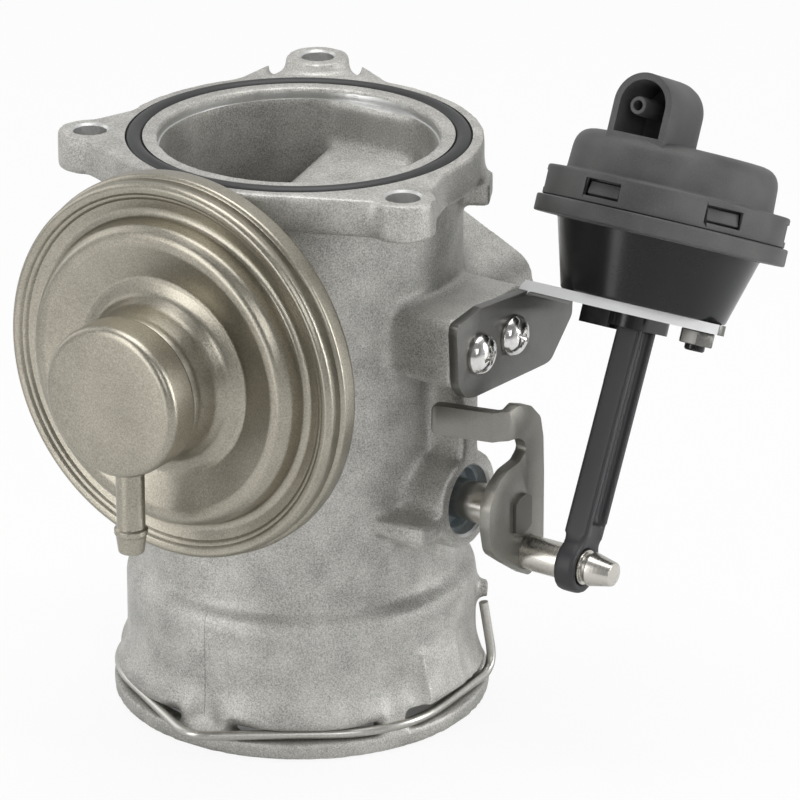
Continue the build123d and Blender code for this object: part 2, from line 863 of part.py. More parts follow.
with BuildPart() as stem_nut:
    with BuildSketch(xz_plane(-stack_front)):
        with Locations((0, can_height)):
            RegularPolygon(stem_nut_across / 2, 6, major_radius=False)
            Circle(stem_thread_radius, mode=Mode.SUBTRACT)
    extrude(amount=stem_nut_height)
save(stem_nut.part, "stem_nut")


def coil(plane, middle_radius, wire_radius, height, turns):
    """Compression spring standing on a plane: a round wire swept along its helix."""
    rise = height - 2 * wire_radius
    with BuildPart() as spring:
        with BuildLine() as centre_line:
            Helix(pitch=rise / turns, height=rise, radius=middle_radius)
        with BuildSketch(Plane(centre_line.line @ 0, z_dir=centre_line.line % 0)):
            Circle(wire_radius)
        sweep(path=centre_line.line)
    return plane.offset(wire_radius).location * spring.part


# Return spring of the gas valve, between the front plate and the end cup
spring_length = cup_face - can_sheet - stack_front - 0.2
egr_spring = coil(
    facing(0, -stack_front - 0.1, can_height, (0, -1, 0), (1, 0, 0)),
    neck_radius - can_sheet - egr_spring_wire - 1.5,
    egr_spring_wire,
    spring_length,
    egr_spring_turns,
)
save(egr_spring, "egr_spring")

# Valve stem, poppet, seat ring and guide
poppet_back = nozzle_end - valve_gap
with BuildPart() as valve_stem:
    with BuildSketch(xz_plane(poppet_back - poppet_thickness)):
        with Locations((0, can_height)):
            Circle(stem_radius)
    extrude(amount=poppet_back - poppet_thickness + stack_back)
    with BuildSketch(xz_plane(-stack_back)):
        with Locations((0, can_height)):
            Circle(stem_thread_radius)
    extrude(amount=stack_front - stack_back + stem_nut_height + 1.0)
    with BuildSketch(xz_plane(poppet_back)):
        with Locations((0, can_height)):
            Circle(stem_thread_radius)
    extrude(amount=poppet_thickness)
save(valve_stem.part, "valve_stem")

with BuildPart() as valve_poppet:
    with BuildSketch(plane_can):
        Polygon(
            (stem_thread_radius, poppet_back),
            (poppet_radius, poppet_back),
            (poppet_radius, poppet_back - 0.8),
            (stem_radius + 1.5, poppet_back - poppet_thickness),
            (stem_thread_radius, poppet_back - poppet_thickness),
            align=None,
        )
    revolve(axis=axis_can)
save(valve_poppet.part, "valve_poppet")

with BuildPart() as valve_seat:
    with BuildSketch(xz_plane(nozzle_end + seat_height)):
        with Locations((0, can_height)):
            Circle(seat_outer_radius - press_gap)
            Circle(seat_throat_radius, mode=Mode.SUBTRACT)
    extrude(amount=seat_height)
save(valve_seat.part, "valve_seat")

with BuildPart() as stem_guide:
    with BuildSketch(xz_plane(-pad_face + guide_boss_depth)):
        with Locations((0, can_height)):
            Circle(guide_outer_radius - press_gap)
            Circle(guide_inner_radius, mode=Mode.SUBTRACT)
    extrude(amount=guide_boss_depth + gasket_thickness)
save(stem_guide.part, "stem_guide")

# Throttle shaft with the slot that holds the flap, and its riveted outer end
shaft_back = rear_boss_end - plug_thickness - rear_end_gap
with BuildPart() as throttle_shaft:
    with BuildSketch(yz_plane(-shaft_back)):
        with Locations((0, shaft_height)):
            Circle(shaft_radius)
    extrude(amount=shaft_back + lever_outer - lever_thickness)
    with BuildSketch(yz_plane(lever_outer - lever_thickness)) as tongue:
        with Locations((0, shaft_height)):
            Circle(shaft_radius)
            Rectangle(shaft_flats, 2 * shaft_radius, mode=Mode.INTERSECT)
    extrude(amount=lever_thickness + rivet_height)
    with BuildSketch(xz_plane(flap_thickness / 2 + 0.02)):
        with Locations((0, shaft_height)):
            Rectangle(2 * flap_radius + 0.3, 2 * shaft_radius)
    extrude(amount=flap_thickness + 0.04, mode=Mode.SUBTRACT)
    with BuildSketch(xz_plane(shaft_radius)):
        with Locations((-flap_screw_spread, shaft_height), (flap_screw_spread, shaft_height)):
            Circle(flap_screw_radius)
    extrude(amount=2 * shaft_radius, mode=Mode.SUBTRACT)
    with BuildSketch(xz_plane(-shaft_radius + flap_head_seat)):
        with Locations((-flap_screw_spread, shaft_height), (flap_screw_spread, shaft_height)):
            Circle(flap_head_radius + 0.1)
    extrude(amount=shaft_radius, mode=Mode.SUBTRACT)
save(throttle_shaft.part, "throttle_shaft")

# Flap, standing along the bore when open, and its two screws
with BuildPart() as throttle_flap:
    with BuildSketch(xz_plane(flap_thickness / 2)):
        with Locations((0, shaft_height)):
            Circle(flap_radius)
        with Locations((-flap_screw_spread, shaft_height), (flap_screw_spread, shaft_height)):
            Circle(flap_screw_radius + 0.1, mode=Mode.SUBTRACT)
    extrude(amount=flap_thickness)
save(throttle_flap.part, "throttle_flap")

head_plane = -shaft_radius + flap_head_seat
with BuildPart() as flap_screws:
    with BuildSketch(xz_plane(head_plane)):
        with Locations((-flap_screw_spread, shaft_height), (flap_screw_spread, shaft_height)):
            Circle(flap_head_radius)
    extrude(amount=flap_head_height)
    with BuildSketch(xz_plane(head_plane)):
        with Locations((-flap_screw_spread, shaft_height), (flap_screw_spread, shaft_height)):
            Circle(flap_screw_radius - 0.02)
    extrude(amount=-(shaft_radius - head_plane))
save(flap_screws.part, "flap_screws")

# Bushes at both ends of the shaft, lip seal in the front mouth and closing plug at the rear
bush_places = (
    ("front_shaft_bush", bore_radius + bush_inset, front_boss_end - boss_mouth_depth),
    ("rear_shaft_bush", -shaft_back, -bore_radius - bush_inset),
)
for bush_name, bush_start, bush_end in bush_places:
    with BuildPart() as bush:
        with BuildSketch(yz_plane(bush_start)):
            with Locations((0, shaft_height)):
                Circle(bush_outer_radius - press_gap)
                Circle(bush_inner_radius, mode=Mode.SUBTRACT)
        extrude(amount=bush_end - bush_start)
    save(bush.part, bush_name)

seal_start = front_boss_end - boss_mouth_depth
with BuildPart() as shaft_seal:
    with BuildSketch(plane_shaft):
        Polygon(
            (seal_start, boss_mouth_radius - press_gap),
            (seal_start + seal_thickness, boss_mouth_radius - press_gap),
            (seal_start + seal_thickness, boss_mouth_radius - seal_rim),
            (seal_start + seal_rim, boss_mouth_radius - seal_rim),
            (seal_start + seal_rim, bush_inner_radius + seal_lip),
            (seal_start + seal_thickness * 0.7, bush_inner_radius + 0.5 * seal_lip),
            (seal_start + seal_thickness * 0.6, bush_inner_radius),
            (seal_start, bush_inner_radius),
            align=None,
        )
    revolve(axis=axis_shaft)
save(shaft_seal.part, "shaft_seal")

with BuildPart() as rear_shaft_plug:
    with BuildSketch(yz_plane(-rear_boss_end)):
        with Locations((0, shaft_height)):
            Circle(bush_outer_radius - press_gap)
    extrude(amount=plug_thickness)
save(rear_shaft_plug.part, "rear_shaft_plug")

# Throttle lever: sheet plate with hub, pin ear and a tab bent towards the casting
lever_back = lever_outer - lever_thickness
tab_middle = -(stop_face + stop_gap + lever_thickness / 2)
tab_low = shaft_height + tab_rise
with BuildPart() as throttle_lever:
    with BuildSketch(yz_plane(lever_back)) as lever_plate:
        with Locations((0, shaft_height)):
            Circle(lever_hub_radius)
        with Locations((pin_y, pin_z)):
            Circle(pin_radius + lever_pin_margin)
        Polygon(
            (pin_y + pin_radius + lever_pin_margin - 1.2, pin_z - 3.4),
            (lever_right, pin_z + 2.2),
            (lever_right, lever_top - 8.3),
            (lever_right - 1.8, lever_top - 4.7),
            (lever_right - 5.0, lever_top - 1.8),
            (tab_middle + lever_thickness / 2 + 2.0, lever_top),
            (tab_middle - lever_thickness / 2, lever_top),
            (tab_middle - lever_thickness / 2, tab_low),
            (tab_middle + lever_thickness / 2 + 1.2, tab_low - 0.9),
            (tab_middle + lever_thickness / 2 + 4.0, tab_low - 3.6),
            (tab_middle + lever_thickness / 2 + 3.4, tab_low - 5.8),
            (-3.8, shaft_height + sqrt(lever_hub_radius ** 2 - 3.8 ** 2)),
            (0, shaft_height),
            (pin_y - 1.0, pin_z - pin_radius),
            align=None,
        )
    extrude(amount=lever_thickness)
    with BuildSketch(yz_plane(lever_back)) as tab_section:
        with Locations((tab_middle, tab_low + tab_height / 2)):
            Rectangle(lever_thickness, tab_height)
        fillet(tab_section.vertices(), 0.5)
    extrude(amount=-(tab_length - lever_thickness))
    with BuildSketch(yz_plane(lever_back)) as shaft_slot:
        with Locations((0, shaft_height)):
            Circle(shaft_radius + press_gap)
            Rectangle(shaft_flats + 2 * press_gap, 2 * shaft_radius + 1, mode=Mode.INTERSECT)
    extrude(amount=lever_thickness, mode=Mode.SUBTRACT)
    with BuildSketch(yz_plane(lever_back)):
        with Locations((pin_y, pin_z)):
            Circle(pin_radius)
    extrude(amount=lever_thickness, mode=Mode.SUBTRACT)
save(throttle_lever.part, "throttle_lever")

# Pin riveted in the lever, with a groove outside the rod's eye and a conical end
eye_back = rod_x - eye_thick / 2
eye_front = rod_x + eye_thick / 2
groove_start = eye_front + 0.35
with BuildPart() as lever_pin:
    with BuildSketch(Plane(origin=(0, pin_y, pin_z), x_dir=(1, 0, 0), z_dir=(0, -1, 0))):
        Polygon(
            (lever_back - rivet_height, 0),
            (lever_back - rivet_height, pin_radius - press_gap),
            (groove_start, pin_radius - press_gap),
            (groove_start, pin_radius - pin_groove_depth),
            (groove_start + pin_groove_width, pin_radius - pin_groove_depth),
            (groove_start + pin_groove_width, pin_radius - press_gap),
            (pin_end - pin_cone, pin_radius - press_gap),
            (pin_end, pin_tip_radius),
            (pin_end, 0),
            align=None,
        )
    revolve(axis=Axis((0, pin_y, pin_z), (1, 0, 0)))
save(lever_pin.part, "lever_pin")

def tongue_side(edge):
    """Point where the plate's slanting edge touches the round tongue about the stud."""
    slant = hypot(stud_offset - plate_shoulder, edge)
    corner_angle = atan2(edge, plate_shoulder - stud_offset)
    hand = 1 if edge < 0 else -1
    touch = degrees(corner_angle + hand * acos(plate_tongue / slant))
    side = on_circle(plate_tongue, touch)
    return (stud_offset + side[0], side[1])


# Bracket: a face screwed to the block, and a plate bent square to the actuator's axis
bend_near = tilted_yz(-plate_near, bracket_sheet / 2)
bend_far = tilted_yz(bend_length - plate_near, bracket_sheet / 2)
face_bottom = block_bottom - 3.6
with BuildPart() as actuator_bracket:
    with BuildSketch(yz_plane(bracket_face - bracket_sheet)) as bracket_outline:
        Polygon(
            bend_near,
            (bend_near[0] - 4.0, bend_near[1] + 0.6),
            (bend_near[0] - 8.5, bend_near[1] + 0.2),
            (block_left - 0.5, block_top + 0.1),
            (block_left - 0.8, block_top - 2.2),
            (block_left, block_bottom + 1.0),
            (block_left + 2.8, face_bottom + 1.8),
            (block_left + 5.6, face_bottom + 1.3),
            (block_right + 4.0, face_bottom),
            (block_right + 6.4, face_bottom + 0.1),
            tilted_yz(bend_length - plate_near, -bracket_sheet - 1.7),
            bend_far,
            align=None,
        )
    extrude(amount=bracket_sheet)
    with BuildSketch(act_plane(-bracket_sheet / 2)) as plate_outline:
        Polygon(
            (bracket_face - bracket_sheet - rod_x, -plate_near),
            (plate_shoulder, -plate_near),
            tongue_side(-plate_near),
            tongue_side(plate_far),
            (plate_shoulder, plate_far),
            (bracket_face - bracket_sheet - rod_x, plate_far),
            align=None,
        )
        fillet(plate_outline.vertices().filter_by(lambda v: abs(v.X - plate_shoulder) < 0.01), plate_corner)
        with Locations((stud_offset, 0)):
            Circle(plate_tongue)
        SlotOverall(
            2 * collar_long + 0.8,
            2 * collar_short + 0.8,
            rotation=90,
            mode=Mode.SUBTRACT,
        )
        with Locations((stud_offset, 0)):
            Circle(stud_radius + 0.3, mode=Mode.SUBTRACT)
    extrude(amount=bracket_sheet)
    with BuildSketch(yz_plane(bracket_face)):
        for screw_y in bracket_screw_y:
            with Locations((screw_y, bracket_screw_z)):
                Circle(bracket_screw_radius + 0.25)
    extrude(amount=-bracket_sheet, mode=Mode.SUBTRACT)
save(actuator_bracket.part, "actuator_bracket")

with BuildPart() as bracket_screws:
    with BuildSketch(yz_plane(bracket_face)):
        for screw_y in bracket_screw_y:
            with Locations((screw_y, bracket_screw_z)):
                Circle(bracket_head_radius)
    extrude(amount=bracket_head_height)
    fillet(bracket_screws.edges().filter_by(GeomType.CIRCLE).group_by(Axis.X)[-1], 1.6)
    with BuildSketch(yz_plane(bracket_face)):
        for screw_y in bracket_screw_y:
            with Locations((screw_y, bracket_screw_z)):
                Circle(bracket_screw_radius - running_clearance)
    extrude(amount=-(bracket_sheet + bracket_screw_length - 1))
    with BuildSketch(yz_plane(bracket_face + bracket_head_height)):
        for screw_y in bracket_screw_y:
            for turn in (20, 110):
                with Locations(Location((screw_y, bracket_screw_z, 0), turn)):
                    Rectangle(4.0, 0.9)
    extrude(amount=-1.5, mode=Mode.SUBTRACT)
save(bracket_screws.part, "bracket_screws")

# Lower body of the actuator: cone, clamping lip with snap noses, rod collar, hooked foot and stud
floor_low = bracket_sheet / 2
cone_top = floor_low + cone_height
lip_top = cone_top + lip_height
rim_top = lip_top + rim_height
dome_top = rim_top + dome_height
act_profile = Plane(origin=act_origin, x_dir=(1, 0, 0), z_dir=(0, -tilt_cos, tilt_sin))
inner_low = cone_low_radius - shell_wall
inner_high = cone_high_radius - shell_wall
clamp_floor = lip_top - diaphragm_sheet
with BuildPart() as actuator_lower_body:
    with BuildSketch(act_profile):
        Polygon(
            (0, floor_low),
            (cone_low_radius, floor_low),
            (cone_high_radius, cone_top),
            (lip_radius, cone_top),
            (lip_radius, lip_top),
            (rim_radius - 3 * snap_wall, lip_top),
            (rim_radius - 3 * snap_wall, clamp_floor),
            (inner_high, clamp_floor),
            (inner_low, floor_low + shell_wall),
            (0, floor_low + shell_wall),
            align=None,
        )
    revolve(axis=axis_act)
    with BuildSketch(act_plane(floor_low)):
        SlotOverall(2 * collar_long, 2 * collar_short, rotation=90)
    extrude(amount=-(bracket_sheet + collar_height))
    with BuildSketch(act_plane(-floor_low)):
        with Locations((-(collar_short + foot_length / 2), 0)):
            Rectangle(foot_length, foot_depth)
    extrude(amount=-foot_height)
    with BuildSketch(act_plane(floor_low)):
        with Locations((stud_offset, 0)):
            Circle(stud_radius)
    extrude(amount=-(bracket_sheet + nut_height + 1.2))
    with BuildSketch(act_plane(floor_low + shell_wall)):
        SlotOverall(2 * (collar_long - collar_wall), 2 * (collar_short - collar_wall), rotation=90)
    extrude(amount=-(shell_wall + bracket_sheet + collar_height), mode=Mode.SUBTRACT)
    for turn in range(6):
        nose_angle = window_start + 60 * turn
        nose_base = on_circle(rim_radius - 2.5 * snap_wall, nose_angle)
        with BuildSketch(act_plane(lip_top)):
            with Locations(Location((nose_base[0], nose_base[1], 0), nose_angle)):
                Rectangle(snap_wall - 0.2, window_width - 0.8)
        extrude(amount=window_sill + window_height - 0.3)
        nose_tip = on_circle(rim_radius - 1.5 * snap_wall, nose_angle)
        with BuildSketch(act_plane(lip_top + window_sill + 0.3)):
            with Locations(Location((nose_tip[0], nose_tip[1], 0), nose_angle)):
                Rectangle(1.6 * snap_wall, window_width - 0.8)
        extrude(amount=window_height - 0.6)
save(actuator_lower_body.part, "actuator_lower_body")

with BuildPart() as actuator_nut:
    with BuildSketch(act_plane(-floor_low)):
        with Locations((stud_offset, 0)):
            RegularPolygon(nut_across / 2, 6, major_radius=False)
            Circle(stud_radius + press_gap, mode=Mode.SUBTRACT)
    extrude(amount=-nut_height)
save(actuator_nut.part, "actuator_nut")

# Cover of the actuator: windowed rim, dome and the hooded hose nipple
ring_inner = rim_radius - 3 * snap_wall - 2.0
hood_low = dome_top - shell_wall - 1.0
hood_middle = dome_top + hood_height - hood_width / 2
with BuildPart() as actuator_cover:
    with BuildSketch(act_profile):
        Polygon(
            (0, lip_top + face_gap),
            (rim_radius, lip_top + face_gap),
            (rim_radius, rim_top),
            (dome_radius, rim_top),
            (dome_radius, dome_top - 2.4),
            (dome_top_radius, dome_top),
            (0, dome_top),
            align=None,
        )
    revolve(axis=axis_act)
    hood_plane = act_profile.offset(hood_start)
    with BuildSketch(hood_plane):
        with Locations((0, hood_middle)):
            Circle(hood_width / 2)
        with Locations((0, (hood_low + hood_middle) / 2)):
            Rectangle(hood_width, hood_middle - hood_low)
    extrude(amount=hood_depth)

    # Inside of the cover, and the channel behind the rim
    with BuildSketch(act_profile):
        Polygon(
            (0, lip_top),
            (ring_inner, lip_top),
            (ring_inner, dome_top - shell_wall - 1.6),
            (dome_top_radius - shell_wall, dome_top - shell_wall),
            (0, dome_top - shell_wall),
            align=None,
        )
        Polygon(
            (rim_radius - 3 * snap_wall, lip_top),
            (rim_radius - snap_wall, lip_top),
            (rim_radius - snap_wall, rim_top - shell_wall),
            (rim_radius - 3 * snap_wall, rim_top - shell_wall),
            align=None,
        )
    revolve(axis=axis_act, mode=Mode.SUBTRACT)
    for turn in range(6):
        window_angle = window_start + 60 * turn
        window_middle = on_circle(rim_radius, window_angle)
        with BuildSketch(act_plane(lip_top + window_sill)):
            with Locations(Location((window_middle[0], window_middle[1], 0), window_angle)):
                Rectangle(3.4 * snap_wall, window_width)
        extrude(amount=window_height, mode=Mode.SUBTRACT)
    with BuildSketch(hood_plane.offset(hood_back_wall)):
        with Locations((0, hood_middle)):
            Circle(hood_width / 2 - hood_wall)
        with Locations((0, (dome_top + hood_middle) / 2)):
            Rectangle(hood_width - 2 * hood_wall, hood_middle - dome_top)
    extrude(amount=hood_depth - hood_back_wall, mode=Mode.SUBTRACT)
    with BuildSketch(hood_plane.offset(hood_back_wall / 2)):
        with Locations((nipple_shift, dome_top + nipple_height)):
            Circle(nipple_radius)
    extrude(amount=hood_depth - hood_back_wall / 2 - nipple_setback)
    with BuildSketch(hood_plane.offset(hood_back_wall / 2)):
        with Locations((nipple_shift, dome_top + nipple_height)):
            Circle(nipple_bore)
    extrude(amount=hood_depth, mode=Mode.SUBTRACT)
    with BuildSketch(act_plane(dome_top + nipple_height)):
        with Locations((nipple_shift, -hood_start - hood_back_wall / 2)):
            Circle(nipple_bore)
    extrude(amount=-(nipple_height + shell_wall + 1), mode=Mode.SUBTRACT)
save(actuator_cover.part, "actuator_cover")

# Rolling diaphragm, piston and return spring of the actuator
head_top = floor_low + shell_wall + rod_rest_gap + rod_head_height
piston_low = head_top + piston_gap
piston_top = piston_low + 2 * piston_sheet + diaphragm_sheet
fold_low = piston_low + piston_sheet
diaphragm_path = (
    (rim_radius - 3 * snap_wall - 0.4, clamp_floor + face_gap / 2),
    (inner_high - 1.4, clamp_floor + face_gap / 2),
    (inner_low + 0.8, fold_low + 3.4),
    (piston_radius + 0.8, fold_low),
    (0.2, fold_low),
)
with BuildPart() as actuator_diaphragm:
    with BuildSketch(act_profile):
        add(turned_sheet(diaphragm_path, diaphragm_sheet - face_gap, Side.RIGHT))
    revolve(axis=axis_act)
save(actuator_diaphragm.part, "actuator_diaphragm")

with BuildPart() as actuator_piston:
    with BuildSketch(act_plane(piston_low)):
        Circle(piston_radius)
    extrude(amount=piston_sheet)
    with BuildSketch(act_plane(fold_low + diaphragm_sheet)):
        Circle(piston_radius)
    extrude(amount=piston_sheet)
    with BuildSketch(act_plane(fold_low)):
        Circle(0.2)
    extrude(amount=diaphragm_sheet)
save(actuator_piston.part, "actuator_piston")

actuator_spring = coil(
    act_plane(piston_top + 0.1),
    piston_radius - actuator_spring_wire - 0.6,
    actuator_spring_wire,
    dome_top - shell_wall - piston_top - 0.2,
    actuator_spring_turns,
)
save(actuator_spring, "actuator_spring")

# Rod: eye at the lever pin, ribbed shank and a round head under the piston
plane_rod = Plane(origin=(rod_x, pin_y, pin_z), x_dir=(1, 0, 0), z_dir=(0, lean_sin, lean_cos))
shank_top = plate_distance + head_top - rod_head_height
with BuildPart() as actuator_rod:
    with BuildSketch(plane_rod):
        Rectangle(rod_thick, rod_wide)
        with Locations((rod_web / 2 + rod_thick / 4, 0)):
            Rectangle(rod_thick / 2 + 0.01, rod_wide - 2 * rod_flange, mode=Mode.SUBTRACT)
        with Locations((-rod_web / 2 - rod_thick / 4, 0)):
            Rectangle(rod_thick / 2 + 0.01, rod_wide - 2 * rod_flange, mode=Mode.SUBTRACT)
    extrude(amount=shank_top)
    with BuildSketch(plane_rod.offset(shank_top)):
        Circle(rod_head_radius)
    extrude(amount=rod_head_height)
    with BuildSketch(yz_plane(eye_back)):
        with Locations((pin_y, pin_z)):
            Circle(eye_radius)
        Polygon(
            rod_yz(-rod_wide / 2, 0),
            rod_yz(rod_wide / 2, 0),
            rod_yz(rod_wide / 2, eye_radius + 3.0),
            rod_yz(-rod_wide / 2, eye_radius + 3.0),
            align=None,
        )
    extrude(amount=eye_thick)
    with BuildSketch(yz_plane(rod_x - rod_thick)) as eye_clear:
        with Locations((pin_y, pin_z)):
            Circle(eye_radius + 1.0)
    extrude(amount=rod_thick - eye_thick / 2, mode=Mode.SUBTRACT)
    with BuildSketch(yz_plane(eye_front)):
        with Locations((pin_y, pin_z)):
            Circle(eye_radius + 1.0)
    extrude(amount=rod_thick, mode=Mode.SUBTRACT)
    with BuildSketch(yz_plane(eye_back)):
        with Locations((pin_y, pin_z)):
            Circle(pin_radius - press_gap + running_clearance)
    extrude(amount=eye_thick, mode=Mode.SUBTRACT)
save(actuator_rod.part, "actuator_rod")
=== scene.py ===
from math import cos, pi, radians, sin, sqrt, tan

import bmesh
import bpy
import numpy as np
from mathutils import Matrix, Vector


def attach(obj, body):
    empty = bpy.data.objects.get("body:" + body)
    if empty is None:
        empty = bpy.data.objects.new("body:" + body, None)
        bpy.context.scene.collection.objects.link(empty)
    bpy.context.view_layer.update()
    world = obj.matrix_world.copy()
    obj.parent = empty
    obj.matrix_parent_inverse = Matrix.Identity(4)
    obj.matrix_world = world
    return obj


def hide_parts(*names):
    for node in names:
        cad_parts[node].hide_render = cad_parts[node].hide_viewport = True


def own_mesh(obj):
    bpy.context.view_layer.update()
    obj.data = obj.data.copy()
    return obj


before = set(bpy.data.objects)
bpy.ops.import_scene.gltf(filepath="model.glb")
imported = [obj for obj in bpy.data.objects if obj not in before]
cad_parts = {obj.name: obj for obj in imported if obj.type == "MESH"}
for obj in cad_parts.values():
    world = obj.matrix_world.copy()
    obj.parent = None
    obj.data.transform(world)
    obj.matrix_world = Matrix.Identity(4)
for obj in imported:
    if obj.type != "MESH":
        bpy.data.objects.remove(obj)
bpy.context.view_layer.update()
mm = 0.001


# ---------------------------------------------------------------------------------------
# Casting. One gravity-poured light-alloy body: barrel, inlet cup, upper flange, bosses.
# The skin is shot-blasted and softly rounded; seats, holes and the seal groove are machined
# afterwards, so they are cut last and stay sharp.


class Signal:
    """A shader socket that takes part in Python arithmetic."""

    def __init__(self, finish, socket):
        self.finish = finish
        self.socket = socket

    def maths(self, operation, *values):
        return self.finish.node("ShaderNodeMath", {"operation": operation}, dict(enumerate(values)))

    def __add__(self, other):
        return self.maths("ADD", self, other)

    def __radd__(self, other):
        return self.maths("ADD", other, self)

    def __sub__(self, other):
        return self.maths("SUBTRACT", self, other)

    def __rsub__(self, other):
        return self.maths("SUBTRACT", other, self)

    def __mul__(self, other):
        return self.maths("MULTIPLY", self, other)

    def __rmul__(self, other):
        return self.maths("MULTIPLY", other, self)

    def __gt__(self, other):
        return self.maths("GREATER_THAN", self, other)

    def __lt__(self, other):
        return self.maths("LESS_THAN", self, other)

    def __abs__(self):
        return self.maths("ABSOLUTE", self)

    def clamped(self):
        return self.maths("MINIMUM", self.maths("MAXIMUM", self, 0.0), 1.0)


class Finish:
    """A surface finish: one Principled shader and the nodes that vary it."""

    def __init__(self, name, **constants):
        self.material = bpy.data.materials.new(name)
        self.material.use_nodes = True
        self.tree = self.material.node_tree
        self.tree.nodes.clear()
        self.shader = self.tree.nodes.new("ShaderNodeBsdfPrincipled")
        output = self.tree.nodes.new("ShaderNodeOutputMaterial")
        self.tree.links.new(self.shader.outputs[0], output.inputs["Surface"])
        for label, value in constants.items():
            self.shader.inputs[label.replace("_", " ")].default_value = value

    def node(self, kind, settings=None, inputs=None, output=0):
        """Adds a node: settings first, then a value or a link for each named socket."""
        made = self.tree.nodes.new(kind)
        for label, value in (settings or {}).items():
            if label == "stops":
                while len(made.color_ramp.elements) < len(value):
                    made.color_ramp.elements.new(0.5)
                for element, (place, shade) in zip(made.color_ramp.elements, value):
                    element.position = place
                    element.color = shade
            else:
                setattr(made, label, value)
        for label, value in (inputs or {}).items():
            if isinstance(value, Signal):
                self.tree.links.new(value.socket, made.inputs[label])
            else:
                made.inputs[label].default_value = value
        return Signal(self, made.outputs[output])

    def vector(self, operation, *values, output=0):
        """A sum on positions or directions."""
        return self.node("ShaderNodeVectorMath", {"operation": operation}, dict(enumerate(values)), output)

    def place(self):
        """Position on the object, in millimetres."""
        coordinates = self.node("ShaderNodeTexCoord", output="Object")
        return self.node("ShaderNodeVectorMath", {"operation": "SCALE"}, {0: coordinates, "Scale": 1000.0})

    def grain(self, place, size, detail=2.0, roughness=0.5):
        """Noise whose grains are about that size in millimetres."""
        return self.node(
            "ShaderNodeTexNoise",
            {},
            {"Vector": place, "Scale": 1.0 / size, "Detail": detail, "Roughness": roughness},
        )

    def along(self, place, axis):
        """One coordinate of the position."""
        return self.node("ShaderNodeSeparateXYZ", {}, {0: place}, output=axis)

    def mixed(self, share, first, second):
        """Colour between two colours."""
        return self.node(
            "ShaderNodeMix",
            {"data_type": "RGBA"},
            {0: share, 6: first, 7: second},
            output=2,
        )

    def colour(self, share, first, second):
        """Drives the base colour between two colours."""
        self.drive("Base Color", self.mixed(share, first, second))

    def drive(self, label, signal):
        self.tree.links.new(signal.socket, self.shader.inputs[label])

    def relief(self, height, depth, strength=1.0):
        """Bump from a height signal, depth in millimetres."""
        bump = self.node("ShaderNodeBump", {}, {"Height": height, "Distance": depth * mm, "Strength": strength})
        self.drive("Normal", bump)


def shade(red, green, blue):
    return (red, green, blue, 1.0)


def placed(name, data):
    """Puts a mesh, curve, lamp or camera into the scene as a new object."""
    made = bpy.data.objects.new(name, data)
    bpy.context.scene.collection.objects.link(made)
    return made


def new_piece(name, mesh, finish, body):
    """Puts a finished mesh into the scene on one body."""
    piece = placed(name, mesh)
    mesh.materials.clear()
    mesh.materials.append(finish.material)
    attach(piece, body)
    return piece


def settle(piece):
    """Applies a piece's modifiers to its mesh."""
    bpy.context.view_layer.update()
    seen = piece.evaluated_get(bpy.context.evaluated_depsgraph_get())
    done = bpy.data.meshes.new_from_object(seen)
    piece.modifiers.clear()
    piece.data = done


def modify(piece, kind, **settings):
    modifier = piece.modifiers.new(kind.lower(), kind)
    for label, value in settings.items():
        setattr(modifier, label, value)
    return modifier


def lathe_mesh(name, profile, middle=(0, 0, 0), axis=(0, 0, 1), segments=128, closed=False):
    """Mesh turned from (radius, height) points in millimetres about an axis."""
    turn = Vector(axis).to_track_quat("Z", "Y").to_matrix()
    base = Vector(middle)
    points = []
    faces = []
    rings = []
    for radius, height in profile:
        if radius < 1e-6:
            rings.append([len(points)])
            points.append((base + turn @ Vector((0, 0, height))) * mm)
            continue
        ring = []
        for step in range(segments):
            angle = 2 * pi * step / segments
            ring.append(len(points))
            points.append((base + turn @ Vector((radius * cos(angle), radius * sin(angle), height))) * mm)
        rings.append(ring)
    pairs = list(zip(rings, rings[1:]))
    if closed:
        pairs.append((rings[-1], rings[0]))
    for low, high in pairs:
        for step in range(segments):
            after = (step + 1) % segments
            if len(low) == 1 and len(high) == 1:
                break
            if len(low) == 1:
                faces.append((low[0], high[after], high[step]))
            elif len(high) == 1:
                faces.append((low[step], low[after], high[0]))
            else:
                faces.append((low[step], low[after], high[after], high[step]))
    mesh = bpy.data.meshes.new(name)
    mesh.from_pydata(points, [], faces)
    mesh.shade_smooth()
    return mesh


def stacked_mesh(name, layers, middle, across, upward, outward):
    """A closed body through several outlines of equal count, each at its own level along a normal."""
    middle, across, upward, outward = Vector(middle), Vector(across), Vector(upward), Vector(outward)
    shape = bmesh.new()
    rims = []
    for outline, level in layers:
        rims.append([shape.verts.new((middle + across * u + upward * v + outward * level) * mm) for u, v in outline])
    shape.faces.new(rims[0][::-1])
    shape.faces.new(rims[-1])
    for low, high in zip(rims, rims[1:]):
        for index in range(len(low)):
            after = (index + 1) % len(low)
            shape.faces.new((low[index], low[after], high[after], high[index]))
    bmesh.ops.recalc_face_normals(shape, faces=shape.faces)
    mesh = bpy.data.meshes.new(name)
    shape.to_mesh(mesh)
    shape.free()
    return mesh


def slab_mesh(name, outline, low, high, middle, across, upward, outward):
    """A closed plate: an outline in millimetres carried from low to high along a normal."""
    return stacked_mesh(name, [(outline, low), (outline, high)], middle, across, upward, outward)


def tidy_normals(mesh):
    """Makes all faces look outwards."""
    shape = bmesh.new()
    shape.from_mesh(mesh)
    bmesh.ops.recalc_face_normals(shape, faces=shape.faces)
    shape.to_mesh(mesh)
    shape.free()


def cylinder(radius, low, high, middle, axis=(0, 0, 1), segments=48):
    """A plain cylinder: it fills a hole before the skin is softened, or cuts one afterwards."""
    return lathe_mesh("cylinder", [(0, low), (radius, low), (radius, high), (0, high)], middle, axis, segments)


